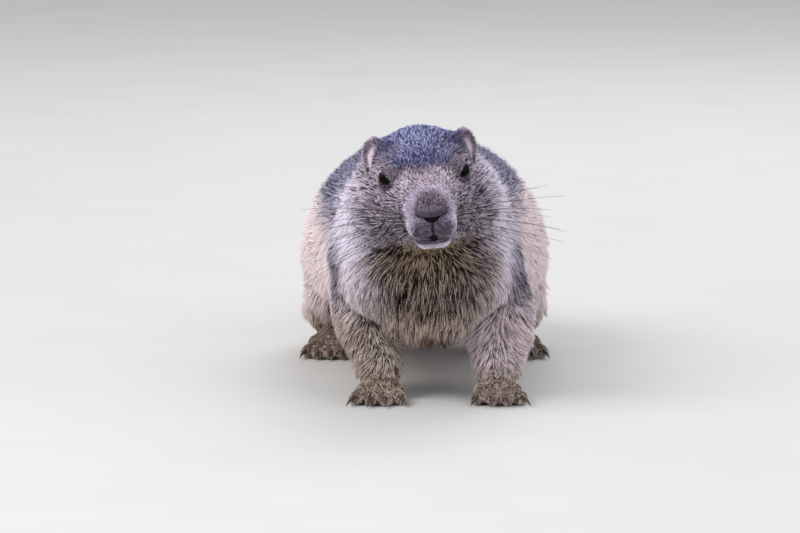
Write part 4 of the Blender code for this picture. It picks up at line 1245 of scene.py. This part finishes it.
# All tufts of the coat, joined in a few pieces by part of the body
def makeCoat(skin, plain):
    rng = np.random.default_rng(coatSizes["seed"])
    roots, normals = drawRoots(skin, rng)
    print("roots drawn:", len(roots))
    flat = rootsOnUnwrap(plain, roots)
    print("roots unwrapped")
    count = len(roots)
    angle = sum(much * waver(roots, scale, seed) for much, scale, seed in coatSizes["wavers"])
    way = turned(lieOfCoat(roots, normals), normals, angle)
    length, rise, width = (values * rng.uniform(*limits, count) for values, limits
                           in zip(coatFields(roots), coatSizes["unevenness"]))
    # Locks: every few tufts share a guide that draws their tips together
    guides = np.arange(0, count, coatSizes["tuftsPerLock"])
    tree = treeAt(roots[guides])
    lock = np.array([tree.find(root)[1] for root in roots.tolist()])
    guideAngle = rng.normal(0, coatSizes["lockTurn"], len(guides))
    guideRise = rng.uniform(*coatSizes["lockRise"], len(guides))
    way = turned(way, normals, guideAngle[lock] + rng.normal(0, coatSizes["tuftTurn"], count))
    rise = rise * guideRise[lock]
    middle = roots + way * (length * 0.46)[:, None] + normals * (rise * 0.62)[:, None]
    tip = roots + way * (length * 0.96)[:, None] + normals * rise[:, None]
    pull = coatSizes["gather"] * rng.uniform(*coatSizes["gatherUnevenness"], count)
    guideTip = tip[guides][lock]
    near = np.linalg.norm(guideTip - tip, axis=1) < length * 0.6
    pull = np.where(near, pull, 0)[:, None]
    tip = tip + (guideTip - tip) * pull
    middle = middle + (middle[guides][lock] - middle) * pull * 0.35
    common = coatSizes["lockTone"]
    tone = (1 - common) * rng.random(count) + common * rng.random(len(guides))[lock]
    half = np.cross(normals, way) * (width / 2)[:, None]
    thick = normals * (width * 0.42)[:, None]
    sunk = normals * coatSizes["sunk"]
    # Pieces, each from what is left by those before it
    x, y, z = inBody(roots).T
    places = (("head", headShare(roots) > 0.5), ("tail", y > 0.335), ("legs", z < 0.040),
              ("front", y < 0.035), ("back", z > 0.125), ("flank_left", x > 0),
              ("flank_right", x <= 0))
    free = np.ones(count, bool)
    short = length < coatSizes["shortBelow"]
    dark, light = foldShadeAndEarMarks(roots)
    made = []
    for zone, inside in places:
        inside, free = free & inside, free & ~inside
        for kind, which in (("short", inside & short), ("long", inside & ~short)):
            faces, along, spread = shortTuft if kind == "short" else longTuft
            chosen = np.where(which)[0]
            parts = max(1, math.ceil(len(chosen) * len(faces) / coatSizes["pieceTriangles"]))
            for part, index in enumerate(np.array_split(chosen, parts)):
                if not len(index):
                    continue
                root, wide = roots[index], half[index]
                if kind == "short":
                    corners = (root - wide - sunk[index], root + wide - sunk[index],
                               root + thick[index], tip[index])
                else:
                    corners = (root - sunk[index] * 2, middle[index] - wide, middle[index] + wide,
                               middle[index] + thick[index], tip[index])
                name = f"coat_{zone}_{kind}_{part + 1}"
                values = {"tone": tone[index], "dark": dark[index], "light": light[index]}
                made.append(tuftMesh(name, np.stack(corners, 1), faces, along, spread, values,
                                     root, flat[index]))
                print(name, len(index), "tufts")
    return made


coat = makeCoat(skin, plainSkin)
for label, values in zip(("dark", "light"), foldShadeAndEarMarks(arrayOf(skin.data.vertices, "co", 3))):
    addValues(skin.data, label, values)
print("coat made:", sum(len(piece.data.polygons) for piece in coat), "faces")


# Materials. The helpers build nodes and hand back an output to link.

# A colour as it is named in a picture, 0 to 255, made linear
def tint(*colour):
    made = [value / 255 for value in colour]
    return (*(value / 12.92 if value < 0.04045 else ((value + 0.055) / 1.055) ** 2.4
              for value in made), 1)


# Sets or links an input, which is named or, as i and its number, counted
def feed(tree, node, name, value):
    counted = name[0] == "i" and name[1:].isdigit()
    socket = node.inputs[int(name[1:]) if counted else name]
    if isinstance(value, bpy.types.NodeSocket):
        tree.links.new(value, socket)
    else:
        socket.default_value = value


def addNode(tree, kind, settings=None, **values):
    node = tree.nodes.new(kind)
    for name, value in (settings or {}).items():
        setattr(node, name, value)
    for name, value in values.items():
        feed(tree, node, name, value)
    return node


def combine(tree, operation, one, two):
    return addNode(tree, "ShaderNodeMath", {"operation": operation}, i0=one, i1=two).outputs[0]


def vector(tree, operation, **values):
    return addNode(tree, "ShaderNodeVectorMath", {"operation": operation}, **values).outputs[0]


def attribute(tree, name, output="Fac"):
    return addNode(tree, "ShaderNodeAttribute", {"attribute_name": name}).outputs[output]


def objectPlace(tree):
    return addNode(tree, "ShaderNodeTexCoord").outputs["Object"]


# Places of the head's own system
def headSystem(tree, place, centre):
    return addNode(tree, "ShaderNodeMapping", {"vector_type": "TEXTURE"}, i0=place,
                   i1=tuple(centre), i2=tuple(headTurn.to_euler("XYZ"))).outputs[0]


def addBump(tree, shader, strength, distance, height):
    bump = addNode(tree, "ShaderNodeBump", Strength=strength, Distance=distance, Height=height)
    feed(tree, shader, "Normal", bump.outputs[0])


def mixColour(tree, share, one, two, blend="MIX"):
    node = tree.nodes.new("ShaderNodeMix")
    node.data_type = "RGBA"
    node.blend_type = blend
    feed(tree, node, "i0", share)
    feed(tree, node, "i6", one)
    feed(tree, node, "i7", two)
    return node.outputs[2]


def mixNumber(tree, share, one, two):
    node = tree.nodes.new("ShaderNodeMix")
    feed(tree, node, "i0", share)
    feed(tree, node, "i2", one)
    feed(tree, node, "i3", two)
    return node.outputs[0]


def ramp(tree, value, low, high):
    return addNode(tree, "ShaderNodeMapRange", {"interpolation_type": "SMOOTHSTEP"},
                   i0=value, i1=low, i2=high).outputs[0]


def newGroup(name, inputs, outputs):
    tree = bpy.data.node_groups.new(name, "ShaderNodeTree")
    for label, kind in inputs:
        tree.interface.new_socket(label, in_out="INPUT", socket_type="NodeSocket" + kind)
    for label, kind in outputs:
        tree.interface.new_socket(label, in_out="OUTPUT", socket_type="NodeSocket" + kind)
    return tree, tree.nodes.new("NodeGroupInput"), tree.nodes.new("NodeGroupOutput")


def useGroup(tree, group, **values):
    node = tree.nodes.new("ShaderNodeGroup")
    node.node_tree = group
    for name, value in values.items():
        feed(tree, node, name, value)
    return node


# A soft-edged ellipsoid: 1 inside, 0 outside
def makeSpotGroup():
    tree, given, result = newGroup("softSpot", (("Place", "Vector"), ("Centre", "Vector"),
                                                ("Radii", "Vector"), ("Softness", "Float")),
                                   (("Mask", "Float"),))
    gap = vector(tree, "SUBTRACT", i0=given.outputs["Place"], i1=given.outputs["Centre"])
    scaled = vector(tree, "DIVIDE", i0=gap, i1=given.outputs["Radii"])
    reach = addNode(tree, "ShaderNodeVectorMath", {"operation": "LENGTH"}, i0=scaled).outputs[1]
    softness = given.outputs["Softness"]
    tree.links.new(ramp(tree, reach, combine(tree, "ADD", 1.0, softness),
                        combine(tree, "SUBTRACT", 1.0, softness)), result.inputs["Mask"])
    return tree


# Markings and painted shade, later ones over earlier ones: where ("body" or "head", mirrored on the
# head), centre, radii, softness, how much, colour of the tips, colour of the roots and share of
# pale hairs
marksAndShade = {
    "shake": 0.010,        # how ragged their edges are, on the body and on the head
    "shakeOnHead": 0.003,
    "start": ((242, 226, 228), (152, 134, 134), 0.88),
    "spots": (
        ("body", (-0.070, 0.080, 0.218), (0.300, 0.400, 0.096), 0.12, 1.0,
         (152, 149, 176), (54, 53, 74), 0.55),
        ("body", (-0.005, 0.300, 0.120), (0.080, 0.080, 0.080), 0.45, 0.6,
         (206, 182, 166), (104, 80, 68), 0.75),
        ("body", (-0.004, 0.130, 0.020), (0.060, 0.170, 0.036), 0.40, 0.9,
         (176, 144, 110), (88, 62, 44), 0.65),
        # Head, as far as the neck
        ("head", (0, -0.030, -0.020), (0.070, 0.085, 0.065), 0.16, 1.0,
         (219, 203, 220), (48, 40, 50), 0.50),
        # Neck, throat, chest and forelegs
        ("body", (0.046, 0.000, 0.076), (0.020, 0.050, 0.056), 0.45, 1.0,
         (244, 228, 232), (86, 74, 78), 0.70),
        ("body", (-0.051, 0.000, 0.076), (0.020, 0.050, 0.056), 0.45, 1.0,
         (248, 232, 234), (90, 78, 80), 0.74),
        # Darker strips beside the cheeks: partly the mantle's slate coming down the shoulders,
        # partly painted shade on the neck's sides
        ("body", (0.062, 0.008, 0.128), (0.013, 0.026, 0.056), 0.50, 0.9,
         (140, 136, 160), (52, 50, 68), 0.48),
        ("body", (-0.067, 0.008, 0.124), (0.012, 0.024, 0.056), 0.50, 0.9,
         (142, 138, 162), (52, 50, 66), 0.48),
        # Dark throat under the chin: painted shade
        ("body", (-0.002, -0.030, 0.090), (0.040, 0.040, 0.034), 0.45, 1.0,
         (198, 178, 168), (32, 24, 23), 0.40),
        ("body", (-0.002, -0.045, 0.112), (0.025, 0.034, 0.016), 0.70, 1.0,
         (206, 182, 156), (56, 42, 34), 0.48),
        ("body", (-0.002, -0.016, 0.066), (0.040, 0.040, 0.014), 0.60, 0.9,
         (236, 213, 196), (52, 40, 37), 0.58),
        ("body", (-0.002, -0.016, 0.044), (0.040, 0.040, 0.015), 0.50, 1.0,
         (204, 174, 142), (30, 21, 17), 0.42),
        ("body", (0.046, -0.006, 0.036), (0.040, 0.060, 0.034), 0.45, 1.0,
         (250, 233, 238), (104, 90, 94), 0.72),
        # The right foreleg's coat is darker than the left one's: painted shade
        ("body", (-0.040, -0.006, 0.036), (0.040, 0.060, 0.034), 0.45, 1.0,
         (218, 200, 192), (66, 55, 51), 0.60),
        # Dark low between the forelegs: painted shade
        ("body", (0.004, -0.004, 0.030), (0.022, 0.060, 0.030), 0.45, 1.0,
         (112, 92, 76), (28, 20, 17), 0.36),
        ("body", (0.046, -0.015, 0.004), (0.040, 0.070, 0.022), 0.40, 0.8,
         (204, 186, 170), (88, 73, 62), 0.64),
        ("body", (-0.040, -0.015, 0.004), (0.040, 0.070, 0.022), 0.40, 0.8,
         (204, 186, 170), (88, 73, 62), 0.64),
        ("body", (0.066, 0.235, 0.012), (0.050, 0.075, 0.026), 0.35, 0.9,
         (204, 186, 170), (88, 73, 62), 0.64),
        ("body", (-0.074, 0.235, 0.012), (0.050, 0.075, 0.026), 0.35, 0.9,
         (204, 186, 170), (88, 73, 62), 0.64),
        ("body", (-0.016, 0.400, 0.055), (0.060, 0.070, 0.060), 0.30, 0.9,
         (150, 124, 106), (62, 46, 38), 0.55),
        ("body", (-0.036, 0.500, 0.034), (0.060, 0.070, 0.060), 0.35, 1.0,
         (52, 42, 40), (24, 19, 19), 0.25),
        # Head again
        ("head", (0.047, -0.060, -0.044), (0.011, 0.056, 0.044), 0.80, 1.0,
         (246, 238, 252), (100, 90, 106), 0.80),
        ("head", (0, -0.030, 0.028), (0.037, 0.060, 0.026), 0.17, 1.0,
         (198, 201, 243), (60, 61, 104), 0.42),
        ("head", (0.023, -0.020, 0.014), (0.010, 0.013, 0.008), 0.45, 0.5,
         (156, 134, 154), (76, 60, 78), 0.50),
        ("head", (0, 0.026, -0.002), (0.0190, 0.026, 0.014), 0.40, 1.0,
         (248, 232, 248), (84, 70, 86), 0.60),
        ("head", (0, 0.046, -0.0165), (0.0205, 0.0200, 0.0232), 0.16, 1.0,
         (248, 240, 255), (118, 106, 128), 0.74),
        ("head", (0, 0.056, -0.0050), (0.0125, 0.0120, 0.0110), 0.40, 1.0,
         (214, 194, 212), (86, 72, 88), 0.50),
        ("head", (0.0052, 0.056, -0.0240), (0.0088, 0.0120, 0.0082), 0.45, 0.9,
         (168, 160, 180), (70, 63, 76), 0.52),
        ("head", (0, 0.050, -0.0368), (0.0175, 0.0150, 0.0036), 0.35, 1.0,
         (246, 240, 254), (150, 140, 158), 0.88),
        ("head", (0.0270, 0.0010, -0.0005), (0.0082, 0.0085, 0.0064), 0.40, 0.8,
         (158, 142, 158), (54, 45, 54), 0.46),
        ("head", (0.0326, -0.0365, 0.0085), (0.0090, 0.0080, 0.0160), 0.30, 1.0,
         (216, 200, 218), (102, 88, 106), 0.68),
    ),
}


def makeMarksAndShade(spot):
    tree, given, result = newGroup("marmotMarksAndShade", (("Place", "Vector"),),
                                   (("Tip", "Color"), ("Root", "Color"), ("Pale", "Float")))
    moved = vector(tree, "SUBTRACT", i0=given.outputs["Place"], i1=tuple(pose["shift"]))
    noise = addNode(tree, "ShaderNodeTexNoise", {"noise_dimensions": "3D"},
                    Vector=given.outputs["Place"], Scale=70.0, Detail=2.0)
    local = headSystem(tree, given.outputs["Place"], headOrigin)
    body, head = (
        vector(tree, "SUBTRACT", i1=(shake / 2,) * 3, i0=vector(
            tree, "MULTIPLY_ADD", i0=noise.outputs["Color"], i1=(shake,) * 3, i2=place))
        for place, shake in ((moved, marksAndShade["shake"]), (local, marksAndShade["shakeOnHead"])))
    parts = addNode(tree, "ShaderNodeSeparateXYZ", i0=head)
    across = addNode(tree, "ShaderNodeMath", {"operation": "ABSOLUTE"}, i0=parts.outputs[0])
    head = addNode(tree, "ShaderNodeCombineXYZ", i0=across.outputs[0],
                   i1=combine(tree, "MULTIPLY", parts.outputs[1], -1.0),
                   i2=parts.outputs[2]).outputs[0]
    tipColour, rootColour, pale = marksAndShade["start"]
    tipColour, rootColour = tint(*tipColour), tint(*rootColour)
    for where, centre, radii, softness, amount, tipTint, rootTint, paleShare in marksAndShade["spots"]:
        mask = useGroup(tree, spot, Place=body if where == "body" else head, Centre=centre,
                        Radii=radii, Softness=softness).outputs[0]
        if amount < 1:
            mask = combine(tree, "MULTIPLY", mask, amount)
        tipColour = mixColour(tree, mask, tipColour, tint(*tipTint))
        rootColour = mixColour(tree, mask, rootColour, tint(*rootTint))
        pale = mixNumber(tree, mask, pale, paleShare)
    tree.links.new(tipColour, result.inputs["Tip"])
    tree.links.new(rootColour, result.inputs["Root"])
    tree.links.new(pale, result.inputs["Pale"])
    return tree


# Painted shade darkens the folds and the ears' notches, the lids' rims and the ears' rings are
# darkened too, and the ears' edges are lightened
def addFoldShadeAndEarMarks(tree, colour):
    dark, light = attribute(tree, "dark"), attribute(tree, "light")
    colour = mixColour(tree, combine(tree, "MULTIPLY", light, 0.85), colour, tint(238, 224, 234))
    # Near black for the painted shade and the dark rims
    return mixColour(tree, combine(tree, "MULTIPLY", dark, 0.97), colour, tint(8, 6, 8))


# Name, roughness and gloss of each finish
finishes = {
    "coat": ("coatHair", 0.75, 0.12),
    "skin": ("coatUnder", 0.85, 0.2),
    "eye": ("eyeGloss", 0.06, 0.05),
    "nose": ("noseLeather", 0.46, 0.40),
    "claws": ("clawHorn", 0.38, 0.5),
    "whiskers": ("whiskerHair", 0.45, 0.5),
    "floor": ("paleFloor", 0.8, 0.5),
}


def newMaterial(finish):
    name, roughness, gloss = finishes[finish]
    made = bpy.data.materials.new(name)
    made.use_nodes = True
    shader = made.node_tree.nodes["Principled BSDF"]
    shader.inputs["Roughness"].default_value = roughness
    shader.inputs["Specular IOR Level"].default_value = gloss
    return made, made.node_tree, shader


def makeCoatMaterial(marksAndShadeGroup):
    made, tree, shader = newMaterial("coat")
    tone = attribute(tree, "tone")
    marks = useGroup(tree, marksAndShadeGroup, Place=attribute(tree, "rootPlace", "Vector"))
    light = ramp(tree, combine(tree, "SUBTRACT", marks.outputs["Pale"], tone), -0.06, 0.06)
    dark = mixColour(tree, 1.0, marks.outputs["Root"], (0.75, 0.75, 0.75, 1), "MULTIPLY")
    tip = mixColour(tree, light, dark, marks.outputs["Tip"])
    along = ramp(tree, attribute(tree, "along"), -0.05, 0.62)
    colour = mixColour(tree, along, marks.outputs["Root"], tip)
    shade = combine(tree, "ADD", combine(tree, "MULTIPLY", tone, 0.35), 0.80)
    colour = mixColour(tree, 1.0, colour, addNode(tree, "ShaderNodeCombineColor", i0=shade,
                                                  i1=shade, i2=shade).outputs[0], "MULTIPLY")
    feed(tree, shader, "Base Color", addFoldShadeAndEarMarks(tree, colour))
    return made


def makeSkinMaterial(marksAndShadeGroup):
    made, tree, shader = newMaterial("skin")
    place = objectPlace(tree)
    marks = useGroup(tree, marksAndShadeGroup, Place=place)
    streaks = addNode(tree, "ShaderNodeTexNoise", Vector=place, Scale=900.0, Detail=3.0)
    light = combine(tree, "MULTIPLY", ramp(tree, streaks.outputs["Fac"], 0.45, 0.70), 0.35)
    colour = mixColour(tree, light, marks.outputs["Root"], marks.outputs["Tip"])
    feed(tree, shader, "Base Color", addFoldShadeAndEarMarks(tree, colour))
    addBump(tree, shader, 0.5, 0.0006, streaks.outputs["Fac"])
    return made


def makeEyeMaterial():
    made, tree, shader = newMaterial("eye")
    reach = attribute(tree, "fromPupil")
    iris = mixColour(tree, ramp(tree, reach, 0.42, 0.50), (0.0015, 0.0012, 0.0012, 1),
                     (0.0085, 0.0052, 0.0040, 1))
    iris = mixColour(tree, ramp(tree, reach, 0.66, 0.82), iris, (0.004, 0.003, 0.003, 1))
    feed(tree, shader, "Base Color", iris)
    return made


def makeNoseMaterial():
    made, tree, shader = newMaterial("nose")
    place, noseShadeMask = objectPlace(tree), attribute(tree, "paintedNoseShade")
    cells = addNode(tree, "ShaderNodeTexVoronoi", {"feature": "DISTANCE_TO_EDGE"},
                    Vector=place, Scale=1400.0)
    noise = addNode(tree, "ShaderNodeTexNoise", Vector=place, Scale=260.0, Detail=3.0)
    colour = mixColour(tree, ramp(tree, noise.outputs["Fac"], 0.35, 0.65),
                       tint(44, 39, 50), tint(64, 56, 72))
    local = headSystem(tree, place, headPoint(*noseSizes["centre"]))
    height = addNode(tree, "ShaderNodeSeparateXYZ", i0=local).outputs[2]
    colour = mixColour(tree, ramp(tree, height, 0.0010, 0.0070), colour, tint(128, 110, 130))
    # Painted shade: near black in the nostrils and under the brim
    colour = mixColour(tree, noseShadeMask, colour, tint(10, 8, 10))
    feed(tree, shader, "Base Color", colour)
    addBump(tree, shader, 0.6, 0.0003, ramp(tree, cells.outputs["Distance"], 0.0, 0.25))
    _, roughness, gloss = finishes["nose"]
    feed(tree, shader, "Roughness", mixNumber(tree, noseShadeMask, roughness, 0.80))
    feed(tree, shader, "Specular IOR Level", mixNumber(tree, noseShadeMask, gloss, 0.08))
    return made


def makeHornMaterial(finish, dark, light):
    made, tree, shader = newMaterial(finish)
    stretched = addNode(tree, "ShaderNodeMapping", i0=objectPlace(tree),
                        i3=(1.0, 0.12, 1.0)).outputs[0]
    grain = addNode(tree, "ShaderNodeTexNoise", Vector=stretched, Scale=1600.0, Detail=3.0)
    feed(tree, shader, "Base Color",
         mixColour(tree, ramp(tree, grain.outputs["Fac"], 0.35, 0.70), dark, light))
    addBump(tree, shader, 0.35, 0.0002, grain.outputs["Fac"])
    return made


marksAndShadeGroup = makeMarksAndShade(makeSpotGroup())
coatMaterial = makeCoatMaterial(marksAndShadeGroup)
materials = {
    "skin": makeSkinMaterial(marksAndShadeGroup),
    "eye": makeEyeMaterial(),
    "nose": makeNoseMaterial(),
    "claws": makeHornMaterial("claws", tint(46, 38, 34), tint(98, 84, 74)),
    "whiskers": makeHornMaterial("whiskers", tint(22, 19, 22), tint(48, 42, 46)),
}
for piece in coat:
    piece.data.materials.append(coatMaterial)
for name, piece in pieces.items():
    piece.data.materials.clear()
    piece.data.materials.append(materials[name.split("_")[0]])
    piece.data.polygons.foreach_set("material_index", [0] * len(piece.data.polygons))
print("materials made")


# What stands for what in the frame
flesh = [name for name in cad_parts
         if not name.startswith(("claw_", "eye_")) and name != "nose"]
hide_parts(*flesh)
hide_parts("nose")
for name in sides:
    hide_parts("eye_" + name)
    for foot in ("fore", "hind"):
        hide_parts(*[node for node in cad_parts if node.startswith(f"claw_{foot}_{name}")])
for piece in [*pieces.values(), *coat]:
    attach(piece, "root")


# Floor, light and camera
def makeFloor():
    shape = bmesh.new()
    bmesh.ops.create_circle(shape, cap_ends=True, segments=96, radius=40)
    floor = objectFrom(shape, "floor")
    made, tree, shader = newMaterial("floor")
    noise = addNode(tree, "ShaderNodeTexNoise", Vector=objectPlace(tree), Scale=9.0, Detail=4.0)
    feed(tree, shader, "Base Color",
         mixColour(tree, noise.outputs["Fac"], tint(200, 199, 196), tint(208, 207, 204)))
    floor.data.materials.append(made)


lightSizes = {
    # Place, size, power and colour of each soft lamp
    "key": ((-1.5, -1.3, 1.9), 1.5, 46, (1.0, 0.985, 0.97)),
    "fill": ((1.5, -1.3, 1.0), 1.8, 9, (0.95, 0.97, 1.0)),
    "back": ((0.5, 1.7, 1.9), 1.5, 26, (0.97, 0.98, 1.0)),
    "world": (0.86, 0.88, 0.92),
    "worldStrength": 0.75,
    "aim": Vector((0, -0.1, 0.09)),
}


def makeLights():
    for name in ("key", "fill", "back"):
        place, size, power, colour = lightSizes[name]
        lamp = bpy.data.lights.new(name, "AREA")
        lamp.size = size
        lamp.energy = power
        lamp.color = colour
        holder = bpy.data.objects.new(name, lamp)
        bpy.context.scene.collection.objects.link(holder)
        holder.location = place
        way = lightSizes["aim"] - Vector(place)
        holder.rotation_euler = way.to_track_quat("-Z", "Y").to_euler()
    world = bpy.data.worlds.new("studio")
    bpy.context.scene.world = world
    world.use_nodes = True
    back = world.node_tree.nodes["Background"]
    back.inputs[0].default_value = (*lightSizes["world"], 1)
    back.inputs[1].default_value = lightSizes["worldStrength"]


cameraSizes = {
    "aim": Vector((0.0, -0.070, 0.166)),  # in the body's own places
    "elevation": 6.5,
    "distance": 4.67,
    "lens": 300,
    "shift": (-0.0375, -0.1125),
}


def makeCamera():
    data = bpy.data.cameras.new("camera")
    data.lens = cameraSizes["lens"]
    data.sensor_width = 36
    data.shift_x, data.shift_y = cameraSizes["shift"]
    data.clip_end = 100
    camera = bpy.data.objects.new("camera", data)
    bpy.context.scene.collection.objects.link(camera)
    tilt = math.radians(cameraSizes["elevation"])
    back = Vector((0, -math.cos(tilt), math.sin(tilt)))
    camera.location = cameraSizes["aim"] + pose["shift"] + back * cameraSizes["distance"]
    camera.rotation_euler = (math.pi / 2 - tilt, 0, 0)
    bpy.context.scene.camera = camera


makeFloor()
makeLights()
makeCamera()
bpy.context.scene.view_settings.view_transform = "Standard"
print("stage set")
